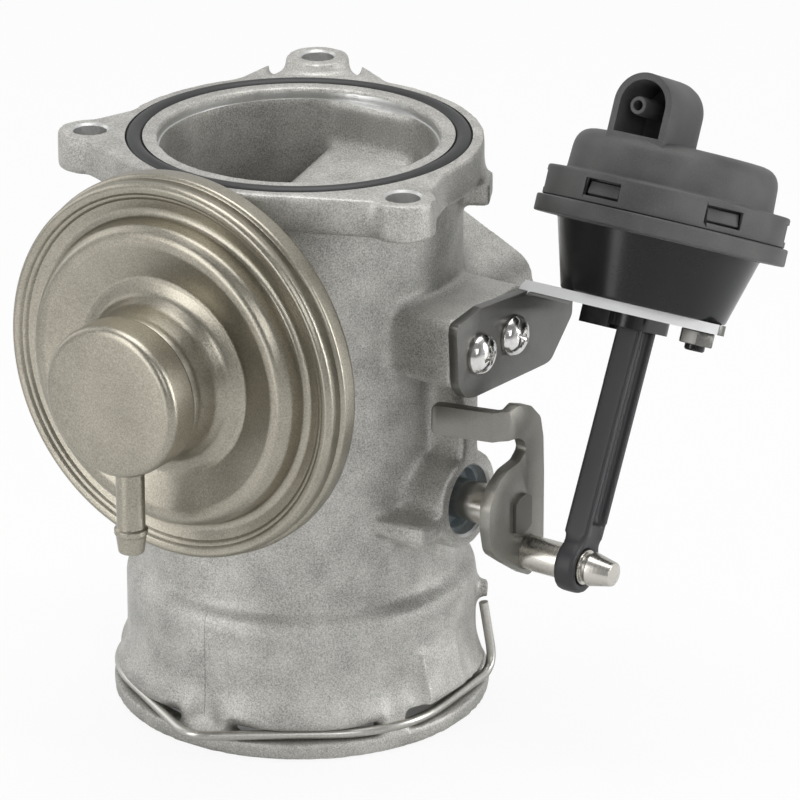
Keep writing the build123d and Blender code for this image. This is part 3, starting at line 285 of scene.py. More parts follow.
def turned_piece(name, profile, middle, axis, segments, finish, body, closed=False):
    """A piece turned from a profile, its faces looking outwards."""
    piece = new_piece(name, lathe_mesh(name, profile, middle, axis, segments, closed), finish, body)
    tidy_normals(piece.data)
    return piece


def joined(name, meshes):
    """One mesh from several."""
    shape = bmesh.new()
    for mesh in meshes:
        shape.from_mesh(mesh)
    together = bpy.data.meshes.new(name)
    shape.to_mesh(together)
    shape.free()
    return together


def cad_copy(node):
    """A welded copy of a CAD node's mesh, without its stored shading."""
    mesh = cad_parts[node].data.copy()
    shape = bmesh.new()
    shape.from_mesh(mesh)
    bmesh.ops.remove_doubles(shape, verts=shape.verts, dist=2e-6)
    bmesh.ops.recalc_face_normals(shape, faces=shape.faces)
    shape.to_mesh(mesh)
    shape.free()
    for label in ("custom_normal", "sharp_face", "sharp_edge"):
        if label in mesh.attributes:
            mesh.attributes.remove(mesh.attributes[label])
    return mesh


def carve(piece, cutters, finish):
    """Cuts machined shapes out of a piece; the cut faces get their own finish."""
    piece.data.materials.append(finish.material)
    mesh = joined(piece.name + "_tools", cutters)
    tidy_normals(mesh)
    mesh.materials.append(finish.material)
    tool = placed(piece.name + "_tools", mesh)
    modify(piece, "BOOLEAN", operation="DIFFERENCE", object=tool, solver="MANIFOLD", material_mode="TRANSFER")
    settle(piece)
    bpy.data.objects.remove(tool)


def soften(mesh, fill_rounds, ease_rounds, ease_share, gentle, reshape):
    """Fills inner corners with a generous radius, eases outer edges a little, and more in gentle places."""
    count = len(mesh.vertices)
    edges = np.zeros(len(mesh.edges) * 2, np.int64)
    mesh.edges.foreach_get("vertices", edges)
    starts, ends = edges.reshape(-1, 2).T
    spots = np.zeros(count * 3)
    mesh.vertices.foreach_get("co", spots)
    spots = spots.reshape(-1, 3)
    triangles = np.zeros(len(mesh.loop_triangles) * 3, np.int64)
    mesh.loop_triangles.foreach_get("vertices", triangles)
    triangles = triangles.reshape(-1, 3)
    near = np.bincount(starts, minlength=count) + np.bincount(ends, minlength=count)
    near = np.maximum(near, 1)
    spots = reshape(spots)
    fill_share = 0.5
    slide_share = 0.3
    ease = np.where(gentle(spots), 0.3, 0.0)
    for turn in range(fill_rounds):
        middle = np.empty_like(spots)
        for lane in range(3):
            column = spots[:, lane]
            middle[:, lane] = np.bincount(starts, column[ends], count) + np.bincount(ends, column[starts], count)
        pull = middle / near[:, None] - spots
        first, second, third = (spots[triangles[:, corner]] for corner in range(3))
        flat = np.cross(second - first, third - first)
        facing = np.zeros_like(spots)
        for corner in range(3):
            for lane in range(3):
                facing[:, lane] += np.bincount(triangles[:, corner], flat[:, lane], count)
        facing /= np.linalg.norm(facing, axis=1)[:, None] + 1e-12
        outward = (pull * facing).sum(1)
        share = np.where(outward > 0, fill_share, np.maximum(ease, ease_share if turn < ease_rounds else 0.0))
        spots += facing * (outward * share)[:, None] + slide_share * (pull - facing * outward[:, None])
    mesh.vertices.foreach_set("co", spots.ravel())
    mesh.update()


def cup_shoulder(spots):
    """The cup's upper edge, which is rounder than the other edges."""
    reach = np.hypot(spots[:, 0], spots[:, 1])
    return (reach > 32.2 * mm) & (abs(spots[:, 2] - 28.0 * mm) < 2.6 * mm)


def lip_crescents(spots):
    """Leaves the flare over the slots only, as four crescents; between them the cup's wall runs straight down."""
    reach = np.hypot(spots[:, 0], spots[:, 1]) / mm
    angle = np.degrees(np.arctan2(spots[:, 1], spots[:, 0]))
    swell = np.zeros(len(spots))
    for centre in slot_centres:
        off = abs((angle - centre + 180) % 360 - 180)
        swell = np.maximum(swell, 1 - (off / 30.0) ** 4)
    wanted = cup_outer + (reach - cup_outer) * np.sqrt(swell.clip(0, 1))
    low = (spots[:, 2] > 3.6 * mm) & (spots[:, 2] < 13.5 * mm) & (reach > cup_outer)
    scale = np.where(low, wanted / np.maximum(reach, 1e-9), 1.0)
    moved = spots.copy()
    moved[:, 0] *= scale
    moved[:, 1] *= scale
    return moved


def round_axis(radius, angle, height):
    """A point at a radius and an angle about the main bore."""
    return (radius * cos(radians(angle)), radius * sin(radians(angle)), height)


body_height = 116.6
can_height = 81.2
shaft_height = 48.9
cup_outer = 35.0
slot_centres = (-177.0, -120.0, -54.0, 3.0)
flange_spots = [round_axis(reach, angle, 0) for reach, angle in ((40.7, 210.4), (48.1, 120.3), (41.1, -26.9))]
exhaust_spots = [(hand * 25, 36.5, can_height) for hand in (-1, 1)]
groove_width = 3.4
groove_depth = 2.7
groove_outer = 33.75
groove_inner = groove_outer - groove_width
groove_floor = body_height - groove_depth
skin_voxel = 0.55
sharp_above = radians(38)
seen_from_above = ((0, 0, 0), (1, 0, 0), (0, 1, 0), (0, 0, 1))

# The mould's parting leaves one hairline down the cup.
hairline_angle = radians(-88.0)
hairline_outward = (cos(hairline_angle), sin(hairline_angle), 0)
hairline_across = (-sin(hairline_angle), cos(hairline_angle), 0)

cast_alloy = Finish("cast_alloy", Metallic=0.72)
spot = cast_alloy.place()
speckle = cast_alloy.grain(spot, 0.30, 3.0, 0.6)
mottle = cast_alloy.grain(spot, 5.5, 3.0, 0.55)
cloud = cast_alloy.grain(spot, 22.0, 2.0)
tone = (1.15 * speckle + 0.35 * mottle + 0.35 * cloud - 0.44).clamped()
tint = cast_alloy.node(
    "ShaderNodeValToRGB",
    {"stops": [(0.25, shade(0.27, 0.264, 0.245)), (0.45, shade(0.43, 0.422, 0.396)),
               (0.72, shade(0.65, 0.64, 0.605))]},
    {0: tone},
)
across_line = cast_alloy.vector("DOT_PRODUCT", spot, hairline_across, output="Value")
before_line = cast_alloy.vector("DOT_PRODUCT", spot, hairline_outward, output="Value")
height = cast_alloy.along(spot, 2)
hairline = (abs(across_line) < 0.09) * (before_line > 30.0) * (height < 28.0) * (height > 6.0)
cast_alloy.colour(0.45 * hairline, tint, shade(0.06, 0.06, 0.055))
cast_alloy.drive("Roughness", 0.44 + 0.16 * speckle)
cast_alloy.relief(speckle + 0.8 * mottle, 0.10, 0.55)

machined_alloy = Finish("machined_alloy", Metallic=0.9, Roughness=0.34)
spot = machined_alloy.place()
rings = machined_alloy.grain(spot, 0.3, 2.0)
machined_alloy.colour(rings, shade(0.55, 0.55, 0.54), shade(0.74, 0.74, 0.73))
machined_alloy.drive("Roughness", 0.28 + 0.2 * rings)
machined_alloy.relief(rings, 0.04, 0.4)

blank = [cad_copy("valve_housing")]
blank.append(lathe_mesh("plug", [(groove_inner - 1.3, groove_floor - 0.1), (groove_outer + 0.1, groove_floor - 0.1),
                                 (groove_outer + 0.1, body_height), (groove_inner - 1.3, body_height)], closed=True))
for spot_there in flange_spots:
    blank.append(cylinder(3.4, body_height - 7.5, body_height, spot_there))
for spot_there in exhaust_spots:
    blank.append(cylinder(3.5, -12.5, 0, spot_there, (0, 1, 0)))
blank.append(cylinder(7.1, 0, 12.6, (27.4, 0, shaft_height), (1, 0, 0)))
blank.append(cylinder(5.7, 0, 10.6, (-27.4, 0, shaft_height), (-1, 0, 0)))
for centre in slot_centres[:3]:
    rim = []
    for step in range(-13, 14):
        swell = 2.3 * (1 - (step / 13) ** 4)
        rim.append((cup_outer - 0.1 + swell, radians(centre + 2.2 * step)))
    rim += [(32.6, angle) for reach, angle in rim[::-1]]
    lip = [(reach * cos(angle), reach * sin(angle)) for reach, angle in rim]
    blank.append(slab_mesh("lip", lip, 5.6, 9.6, *seen_from_above))
shelf = [(20.0, -16.0), (39.7, -16.0), (39.7, -6.0), (20.0, -6.0)]
blank.append(slab_mesh("shelf", shelf, 44.3, 48.2, *seen_from_above))
skin = joined("casting", blank)
tidy_normals(skin)
casting = new_piece("casting", skin, cast_alloy, "housing")
modify(casting, "REMESH", mode="VOXEL", voxel_size=skin_voxel * mm)
settle(casting)
casting.data.calc_loop_triangles()
soften(casting.data, fill_rounds=46, ease_rounds=8, ease_share=0.35, gentle=cup_shoulder, reshape=lip_crescents)
tools = [
    lathe_mesh("tool", [(groove_inner, groove_floor), (groove_outer, groove_floor), (groove_outer, body_height + 2),
                        (groove_inner, body_height + 2)], closed=True, segments=256),
    lathe_mesh("tool", [(0, body_height - 2.2), (27.4, body_height - 2.2), (27.4, body_height - 0.3),
                        (27.7, body_height), (27.7, body_height + 2), (0, body_height + 2)], segments=256),
]
for spot_there in flange_spots:
    tools.append(lathe_mesh("tool", [(0, body_height - 12), (3.3, body_height - 12), (3.3, body_height - 0.45),
                                     (3.75, body_height), (3.75, body_height + 2), (0, body_height + 2)],
                            spot_there, segments=64))
for spot_there in exhaust_spots:
    tools.append(lathe_mesh("tool", [(0, -12), (3.4, -12), (3.4, -0.4), (3.8, 0), (3.8, 2), (0, 2)],
                            spot_there, (0, 1, 0), 64))
tools.append(lathe_mesh("tool", [(0, 0), (5.5, 0), (5.5, 7.5), (7.0, 7.5), (7.0, 12.5), (7.5, 13), (7.5, 14), (0, 14)],
                        (27, 0, shaft_height), (1, 0, 0), 96))
tools.append(cylinder(5.5, 0, 13, (-27, 0, shaft_height), (-1, 0, 0), 96))
carve(casting, tools, machined_alloy)
casting.data.shade_smooth()
casting.data.set_sharp_from_angle(angle=sharp_above)
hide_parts("valve_housing")


# ---------------------------------------------------------------------------------------
# Seal ring. A moulded rubber cord ring that lies in the flange's groove and stands a
# little proud of it; its skin is satin and a little dusty.


def eased(points, radii, closed=False, steps=6):
    """A line with its corners rounded; radii is one number or one for each point."""
    spots = [Vector(point) for point in points]
    count = len(spots)
    if not isinstance(radii, (list, tuple)):
        radii = [radii] * count
    line = []
    for index, spot_here in enumerate(spots):
        if not closed and index in (0, count - 1):
            line.append(tuple(spot_here))
            continue
        before = spots[index - 1] - spot_here
        after = spots[(index + 1) % count] - spot_here
        bend = pi - before.angle(after)
        if bend < 0.02 or radii[index] == 0:
            line.append(tuple(spot_here))
            continue
        reach = min(radii[index] * tan(bend / 2), 0.48 * before.length, 0.48 * after.length)
        start = spot_here + before.normalized() * reach
        end = spot_here + after.normalized() * reach
        for step in range(steps + 1):
            share = step / steps
            line.append(tuple(start * (1 - share) ** 2 + spot_here * 2 * share * (1 - share) + end * share ** 2))
    return line


seal_rubber = Finish("seal_rubber", Metallic=0.0)
spot = seal_rubber.place()
dust = seal_rubber.grain(spot, 1.4, 4.0, 0.6)
pores = seal_rubber.grain(spot, 0.25, 2.0)
seal_rubber.colour(dust, shade(0.010, 0.010, 0.011), shade(0.030, 0.030, 0.031))
seal_rubber.drive("Roughness", 0.36 + 0.2 * dust)
seal_rubber.relief(pores + dust, 0.03, 0.4)

ring_middle = (groove_outer + groove_inner) / 2
ring_section = 1.65
section = []
for step in range(28):
    angle = 2 * pi * step / 28
    section.append((ring_middle + ring_section * cos(angle), groove_floor + ring_section * (1 + sin(angle))))
seal_ring = turned_piece("seal_ring", section, (0, 0, 0), (0, 0, 1), 256, seal_rubber, "housing", closed=True)
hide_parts("flange_o_ring")


# ---------------------------------------------------------------------------------------
# Spring clip. Drawn spring wire bent in one plane round the inlet ring: straight runs lie
# in the ring's slots, and both ends turn up beside the cup.
wire_steel = Finish("wire_steel", Metallic=1.0)
spot = wire_steel.place()
draw_marks = wire_steel.grain(spot, 0.5, 3.0)
wire_steel.colour(draw_marks, shade(0.40, 0.39, 0.36), shade(0.66, 0.65, 0.61))
wire_steel.drive("Roughness", 0.24 + 0.18 * draw_marks)

wire_radius = 0.95
ring_height = 3.4
clip_gap = 0.35
clip_height = ring_height + clip_gap + wire_radius
clip_end_height = 19.0
clip_distance = 35.6
foot_turn = 24.0
foot_reach = clip_distance / cos(radians(foot_turn))
top_reach = cup_outer + wire_radius + 0.75
clip_line = [
    round_axis(top_reach, slot_centres[0] - foot_turn, clip_end_height),
    round_axis(foot_reach, slot_centres[0] - foot_turn, clip_height),
]
for first, second in zip(slot_centres, slot_centres[1:]):
    corner_reach = clip_distance / cos(radians((second - first) / 2))
    clip_line.append(round_axis(corner_reach, (first + second) / 2, clip_height))
clip_line.append(round_axis(foot_reach, slot_centres[-1] + foot_turn, clip_height))
clip_line.append(round_axis(top_reach, slot_centres[-1] + foot_turn, clip_end_height))
clip_line = eased(clip_line, [0, 5.0, 28.0, 7.0, 28.0, 5.0, 0], steps=14)


def wire_curve(name, line, radius):
    """A round wire that follows a line of points in millimetres."""
    curve = bpy.data.curves.new(name, "CURVE")
    curve.dimensions = "3D"
    curve.bevel_depth = radius * mm
    curve.bevel_resolution = 6
    curve.use_fill_caps = True
    strand = curve.splines.new("POLY")
    strand.points.add(len(line) - 1)
    for point, spot_here in zip(strand.points, line):
        point.co = (*(Vector(spot_here) * mm), 1)
    strand.use_smooth = True
    return placed(name, curve)


spring_clip = wire_curve("spring_clip", clip_line, wire_radius)
spring_clip.data.materials.append(wire_steel.material)
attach(spring_clip, "clip")
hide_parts("retaining_clip")


# ---------------------------------------------------------------------------------------
# Vacuum can. Rear shell, front cover and end cup are deep-drawn sheet with a warm
# passivated plating; the cover's edge is rolled over the shell and the cup is pressed on.
can_plating = Finish("can_plating", Metallic=1.0)
spot = can_plating.place()
sparkle = can_plating.grain(spot, 0.34, 2.0, 0.7)
flow = can_plating.grain(spot, 9.0, 3.0, 0.5)
stain = can_plating.grain(spot, 26.0, 2.0)
warm = can_plating.mixed(
    (1.1 * sparkle + 0.35 * flow - 0.25).clamped(), shade(0.18, 0.168, 0.136), shade(0.54, 0.505, 0.425)
)
can_plating.drive("Base Color", warm)
can_plating.drive("Roughness", 0.20 + 0.16 * sparkle + 0.1 * stain)
can_plating.relief(sparkle, 0.06, 0.6)

can_axis = (0, -1, 0)
can_middle = (0, 0, can_height)
pad_face = 31.0
rear_profile = eased(
    [(7.0, pad_face + 0.8), (25.0, pad_face + 0.8), (25.8, 36.0), (37.0, 36.0), (38.2, 36.6), (38.2, 40.2),
     (37.3, 40.9), (36.4, 40.2), (36.4, 37.4), (24.6, 37.4), (23.8, pad_face + 2.0), (7.0, pad_face + 2.0)],
    [0, 1.2, 1.0, 0.9, 1.0, 0.9, 0.8, 0.6, 0.8, 1.0, 0.8, 0], closed=True)
can_back = turned_piece("can_back", rear_profile, can_middle, can_axis, 192, can_plating, "housing", closed=True)
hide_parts("can_rear_shell")

cover_outside = [(37.5, 40.4), (37.5, 43.4), (36.7, 44.3), (35.5, 44.0), (34.6, 43.1), (31.9, 42.3), (30.7, 42.7),
                 (30.0, 46.0), (28.6, 47.7), (26.4, 47.7), (19.6, 45.7), (18.6, 45.9), (16.6, 46.7), (15.0, 49.0),
                 (14.0, 52.6), (13.6, 57.2)]
cover_bends = [0, 1.2, 0.8, 0.9, 1.4, 2.6, 1.2, 2.2, 2.0, 3.0, 1.5, 1.2, 3.0, 4.0, 4.0, 0]
cover_inside = [(radius - 1.0, height - 0.6) for radius, height in cover_outside[::-1]]
cover_inside[-1] = (36.5, 40.4)
cover_inside[-2] = (36.5, 42.6)
cover_inside[0] = (12.6, 57.2)
cover_line = eased(cover_outside, cover_bends, steps=7) + eased(cover_inside, 0.8, steps=3)
can_cover = turned_piece("can_cover", cover_line, can_middle, can_axis, 256, can_plating, "housing", closed=True)
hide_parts("can_front_cover")

cup_line = eased(
    [(0, 63.2), (9.0, 63.15), (15.0, 62.9), (15.0, 55.9), (14.2, 55.1), (13.3, 55.3), (13.3, 61.8), (0, 62.0)],
    [0, 6.0, 1.9, 0.9, 0.6, 0.3, 1.0, 0], steps=8)
end_cup = turned_piece("end_cup", cup_line, can_middle, can_axis, 192, can_plating, "housing")
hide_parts("can_end_cup")

tip_height = can_height - 15.0 - 16.5
hose_line = eased(
    [(1.7, can_height - 13.4), (2.75, can_height - 13.4), (2.75, tip_height + 5.2), (3.25, tip_height + 4.8),
     (3.25, tip_height + 3.9), (2.95, tip_height + 3.4), (2.5, tip_height), (1.7, tip_height),
     (1.55, tip_height + 1.0), (1.55, can_height - 14.0)],
    [0, 0.1, 0.2, 0.25, 0.3, 0.6, 0.35, 0.2, 0, 0], closed=True)
hose_nipple = turned_piece(
    "hose_nipple", hose_line, (1.2, -58.0, 0), (0, 0, 1), 72, can_plating, "housing", closed=True)
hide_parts("can_nipple")


# ---------------------------------------------------------------------------------------
# Throttle shaft with its pressed bushes, lip seal and rear plug. The shaft is centreless
# ground; the seal is pale grey-blue plastic with a soft lip. The flap on the shaft, the gas
# valve, the diaphragms and the gasket, whose solids stay, get their finishes here too.
turned_steel = Finish("turned_steel", Metallic=1.0)
spot = turned_steel.place()
lathe_marks = turned_steel.grain(turned_steel.vector("MULTIPLY", spot, (6.0, 0.35, 0.35)), 1.0, 3.0, 0.6)
turned_steel.colour(lathe_marks, shade(0.48, 0.46, 0.42), shade(0.68, 0.66, 0.61))
turned_steel.drive("Roughness", 0.2 + 0.12 * lathe_marks)
turned_steel.relief(lathe_marks, 0.006, 0.3)

# The shaft's flatted end is riveted over the lever and as dull as the lever.
shaft_steel = Finish("shaft_steel", Metallic=1.0)
spot = shaft_steel.place()
ground = shaft_steel.grain(spot, 0.7, 2.0)
riveted = shaft_steel.along(spot, 0) > 51.6
shaft_steel.colour(riveted, shade(0.60, 0.58, 0.54), shade(0.17, 0.165, 0.15))
shaft_steel.drive("Roughness", 0.2 + 0.1 * ground + 0.2 * riveted)

bearing_bronze = Finish("bearing_bronze", Metallic=0.9)
spot = bearing_bronze.place()
pore = bearing_bronze.grain(spot, 0.4, 3.0)
bearing_bronze.colour(pore, shade(0.26, 0.18, 0.09), shade(0.58, 0.42, 0.23))
bearing_bronze.drive("Roughness", 0.35 + 0.25 * pore)

pale_seal = Finish("pale_seal", Metallic=0.0, Coat_Roughness=0.3)
spot = pale_seal.place()
smear = pale_seal.grain(spot, 1.6, 3.0)
pale_seal.colour(smear, shade(0.16, 0.20, 0.22), shade(0.48, 0.54, 0.57))
pale_seal.drive("Roughness", 0.25 + 0.3 * smear)

flap_brass = Finish("flap_brass", Metallic=1.0)
spot = flap_brass.place()
rolled = flap_brass.grain(flap_brass.vector("MULTIPLY", spot, (0.2, 3.0, 3.0)), 1.0, 3.0)
flap_brass.colour(rolled, shade(0.42, 0.33, 0.17), shade(0.68, 0.57, 0.34))
flap_brass.drive("Roughness", 0.28 + 0.2 * rolled)


def dress(node, finish):
    """Gives a CAD node, whose shape stays, its finish."""
    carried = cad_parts[node].data
    carried.materials.clear()
    carried.materials.append(finish.material)


dress("throttle_shaft", shaft_steel)
for node in ("rear_shaft_plug", "valve_stem", "valve_poppet", "valve_seat"):
    dress(node, turned_steel)
for node in ("front_shaft_bush", "rear_shaft_bush", "stem_guide"):
    dress(node, bearing_bronze)
dress("shaft_seal", pale_seal)
dress("throttle_flap", flap_brass)
for node in ("diaphragm_rear_plate", "diaphragm_front_plate", "actuator_piston"):
    dress(node, can_plating)
for node in ("egr_diaphragm", "actuator_diaphragm"):
    dress(node, seal_rubber)

gasket_fibre = Finish("gasket_fibre", Metallic=0.0, Roughness=0.8)
spot = gasket_fibre.place()
fibre = gasket_fibre.grain(spot, 0.5, 4.0)
gasket_fibre.colour(fibre, shade(0.08, 0.085, 0.085), shade(0.2, 0.21, 0.2))
dress("can_gasket", gasket_fibre)


# ---------------------------------------------------------------------------------------
# Throttle lever and its pin. The lever is stamped from sheet steel, its tab bent over
# towards the casting's stop, and tumbled grey; the pin is turned, pressed in and riveted.


def round_edges(piece, width, segments=3, angle=32):
    """Breaks a piece's sharp edges and smooths the rest."""
    shape = bmesh.new()
    shape.from_mesh(piece.data)
    bmesh.ops.remove_doubles(shape, verts=shape.verts, dist=2e-6)
    bmesh.ops.dissolve_limit(shape, angle_limit=radians(0.8), verts=shape.verts, edges=shape.edges)
    shape.to_mesh(piece.data)
    shape.free()
    modify(piece, "BEVEL", width=width * mm, segments=segments, limit_method="ANGLE", angle_limit=radians(angle))
    settle(piece)
    piece.data.shade_smooth()
    piece.data.set_sharp_from_angle(angle=radians(50))


def unite(piece, others):
    """Welds more meshes to a piece."""
    for mesh in others:
        tool = placed("weld_tool", mesh)
        modify(piece, "BOOLEAN", operation="UNION", object=tool, solver="MANIFOLD")
        settle(piece)
        bpy.data.objects.remove(tool)


lever_steel = Finish("lever_steel", Metallic=0.95)
spot = lever_steel.place()
tumble = lever_steel.grain(spot, 0.35, 3.0, 0.6)
cast_over = lever_steel.grain(spot, 6.0, 2.0)
lever_tone = (0.6 * tumble + 0.4 * cast_over).clamped()
lever_steel.colour(lever_tone, shade(0.16, 0.156, 0.14), shade(0.36, 0.352, 0.32))
lever_steel.drive("Roughness", 0.30 + 0.22 * tumble)
lever_steel.relief(tumble, 0.03, 0.5)

lever_back = 49.6
lever_front = 51.9
pin_across = 2.6
pin_height = 39.9
seen_along_shaft = ((0, 0, 0), (0, 1, 0), (0, 0, 1), (1, 0, 0))
lever_outline = eased(
    [(-3.6, 65.9), (-3.6, 71.3), (-1.2, 72.0), (3.2, 70.4), (6.7, 67.0), (7.8, 62.5), (8.2, 55.0), (8.3, 42.0),
     (8.2, 38.0), (3.4, 34.4), (0.4, 36.4), (-4.8, 40.0), (-10.0, 43.8), (-11.4, 49.6), (-11.2, 53.6), (-9.0, 57.4),
     (-5.2, 59.5), (-0.6, 60.0), (1.7, 61.8), (0.9, 63.8), (-1.6, 65.4), (-2.6, 65.6)],
    [0, 0, 2.0, 2.5, 3.0, 4.0, 6.0, 2.0, 3.0, 3.0, 2.0, 3.0, 4.0, 4.0, 4.0, 4.0, 3.0, 2.2, 1.8, 1.8, 1.5, 0.8],
    closed=True, steps=5)
lever_blank = slab_mesh("lever", lever_outline, lever_back, lever_front, *seen_along_shaft)
lever = new_piece("lever", lever_blank, lever_steel, "throttle")
tab_turn = radians(13)
tab_length = 15.4
tab_corner = 1.1
tab_low = 65.3
tab_high = 6.0
tab_bend = Vector((lever_front, -5.7))
tab_along = Vector((-cos(tab_turn), -sin(tab_turn)))
lever_sheet = lever_front - lever_back
tab_inward = Vector((-sin(tab_turn), cos(tab_turn))) * lever_sheet
inner_reach = lever_sheet * (1 - sin(tab_turn)) / cos(tab_turn)


def tab_outline(shorter):
    """The bent tab seen from above, its free end shortened."""
    end = tab_bend + tab_along * (tab_length - shorter)
    return eased([tuple(end), tuple(tab_bend), (lever_front, -1.6), (lever_back, -1.6),
                  tuple(tab_bend + tab_inward + tab_along * inner_reach), tuple(end + tab_inward)],
                 [0.4, 4.4, 0, 0, 1.4, 0.4], closed=True, steps=8)


tab_layers = []
for level in (0, 0.1, 0.3, 0.6, 1.1, 4.9, 5.4, 5.7, 5.9, tab_high):
    edge = max(0.0, tab_corner - min(level, tab_high - level))
    tab_layers.append((tab_outline(tab_corner - sqrt(tab_corner ** 2 - edge ** 2)), tab_low + level))
tab = stacked_mesh("tab", tab_layers, *seen_from_above)
corner_outline = [(lever_front + 1, -8.0), (lever_front + 1, -1.9), (lever_front + 0.01, -1.9),
                  (lever_front - 0.55, -3.9), (lever_front - 1.9, -5.2), (lever_front - 4.0, -8.0)]
corner_cut = slab_mesh("corner", corner_outline, 64, 80, *seen_from_above)
unite(lever, [tab])
shaft_outline = eased([(-2.84, 45.9), (2.84, 45.9), (2.84, 51.9), (-2.84, 51.9)], 1.2, True)
shaft_hole = slab_mesh("hole", shaft_outline, lever_back - 1, lever_front + 1, *seen_along_shaft)
pin_hole = cylinder(3.5, lever_back - 1, lever_front + 1, (0, pin_across, pin_height), (1, 0, 0), 64)
carve(lever, [shaft_hole, pin_hole, corner_cut], lever_steel)
round_edges(lever, 0.32)
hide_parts("throttle_lever")

pin_line = eased(
    [(0, 48.2), (3.48, 48.2), (3.48, 65.4), (2.8, 65.45), (2.8, 66.5), (3.42, 66.6), (2.35, 71.6), (0, 71.6)],
    [0, 0.3, 0.15, 0.1, 0.1, 0.3, 0.3, 0], steps=4)
pin = turned_piece("pin", pin_line, (0, pin_across, pin_height), (1, 0, 0), 96, turned_steel, "throttle")
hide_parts("lever_pin")
dress("flap_screws", turned_steel)


# ---------------------------------------------------------------------------------------
# Bracket and its two screws. The bracket is folded from 2 mm sheet: a face against the
# casting's block and a plate square to the actuator; dark faces, bright sheared edges.
bracket_coat = Finish("bracket_coat", Metallic=0.92)
spot = bracket_coat.place()
sheen = bracket_coat.grain(spot, 7.0, 3.0)
pits = bracket_coat.grain(spot, 0.35, 3.0, 0.6)
coat_tone = (0.5 * sheen + 0.5 * pits).clamped()
bracket_coat.colour(coat_tone, shade(0.085, 0.084, 0.08), shade(0.24, 0.238, 0.225))
bracket_coat.drive("Roughness", 0.26 + 0.2 * pits)
bracket_coat.relief(pits, 0.03, 0.4)
sheared_edge = Finish("sheared_edge", Metallic=1.0)
spot = sheared_edge.place()
shear = sheared_edge.grain(spot, 0.45, 4.0, 0.7)
sheared_edge.colour(shear, shade(0.075, 0.07, 0.055), shade(0.235, 0.22, 0.175))
sheared_edge.drive("Roughness", 0.5 + 0.2 * shear)
sheared_edge.relief(shear, 0.08, 0.5)

tilt = radians(24.0)
lean = radians(26.5)
actuator_up = Vector((0, sin(tilt), cos(tilt)))
actuator_across = Vector((0, cos(tilt), -sin(tilt)))
rod_up = Vector((0, sin(lean), cos(lean)))
rod_x = 63.0
pin_spot = Vector((rod_x, pin_across, pin_height))
plate_distance = 50.5
actuator_middle = pin_spot + rod_up * plate_distance
plate_near = -14.4
plate_far = 12.0
fold_end = 2.6
stud_offset = 13.1
bracket_back = 43.5
bracket_front = 45.5
screw_height = 82.6
screw_places = (-5.5, 6.2)
side = Vector((1, 0, 0))
plate_frame = (actuator_middle, side, actuator_across, actuator_up)
stud_spot = tuple(actuator_middle + side * stud_offset)


def on_plate(y, z):
    """A point of the bracket's face, given across and along the actuator's axis."""
    offset = Vector((0, y - actuator_middle.y, z - actuator_middle.z))
    return (offset.dot(actuator_across), offset.dot(actuator_up))


face_low = [(28.2, 83.6), (28.0, 79.9), (20.4, 72.7), (18.0, 72.6), (-6.9, 74.1), (-9.7, 74.7), (-12.4, 77.5)]
face_outline = [on_plate(y, z) for y, z in [(-13.3, 88.5), (-12.9, 90.6), (-4.5, 91.6)]]
face_outline += [(plate_near, -1.0), (fold_end, -1.0)]
face_outline += [on_plate(y, z) for y, z in face_low]
face_outline = eased(face_outline, [2.0, 3.0, 1.5, 0, 0, 2.4, 2.0, 3.0, 1.2, 4.0, 4.0, 4.0], closed=True, steps=5)
face_back = bracket_back - rod_x
face_front = bracket_front - rod_x
face_blank = slab_mesh("bracket", face_outline, face_back, face_front,
                       actuator_middle, actuator_across, actuator_up, side)
bracket = new_piece("bracket", face_blank, bracket_coat, "housing")
fold_section = eased([(face_back, -4.0), (face_back, 1.0), (-10.0, 1.0), (-10.0, -1.0), (face_front, -1.0),
                      (face_front, -4.0)],
                     [0, 3.0, 0, 0, 1.0, 0], closed=True, steps=8)
fold = slab_mesh("fold", fold_section, plate_near, fold_end, actuator_middle, side, actuator_up, actuator_across)
plate_outline = eased([(-18.6, plate_near), (3.0, plate_near), (stud_offset + 3.11, -3.91), (stud_offset + 6.0, 0),
                       (stud_offset + 2.9, 4.1), (3.0, plate_far), (-14.0, plate_far), (-18.6, fold_end)],
                      [0, 3.0, 4.0, 6.0, 4.0, 3.0, 4.0, 1.0], closed=True, steps=8)
plate = slab_mesh("plate", plate_outline, -1.0, 1.0, *plate_frame)
unite(bracket, [fold, plate])
holes = [cylinder(2.25, 42, 47, (0, screw_y, screw_height), (1, 0, 0)) for screw_y in screw_places]
slot_half = 4.4
slot_end = 7.4
slot_outline = eased([(-slot_half, -slot_end), (slot_half, -slot_end), (slot_half, slot_end), (-slot_half, slot_end)],
                     4.4, closed=True)
holes.append(slab_mesh("hole", slot_outline, -3, 3, *plate_frame))
holes.append(cylinder(2.3, -3, 3, stud_spot, actuator_up))
carve(bracket, holes, sheared_edge)
round_edges(bracket, 0.28)
for polygon in bracket.data.polygons:
    flat_out = abs(polygon.normal.x)
    flat_up = abs(polygon.normal.dot(actuator_up))
    level = (polygon.center / mm - actuator_middle).dot(actuator_up)
    if flat_out < 0.9 and flat_up < 0.5 and level > -1.1:
        polygon.material_index = 1
    elif level < -1.3 and flat_out > 0.02:
        polygon.material_index = 0
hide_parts("actuator_bracket")

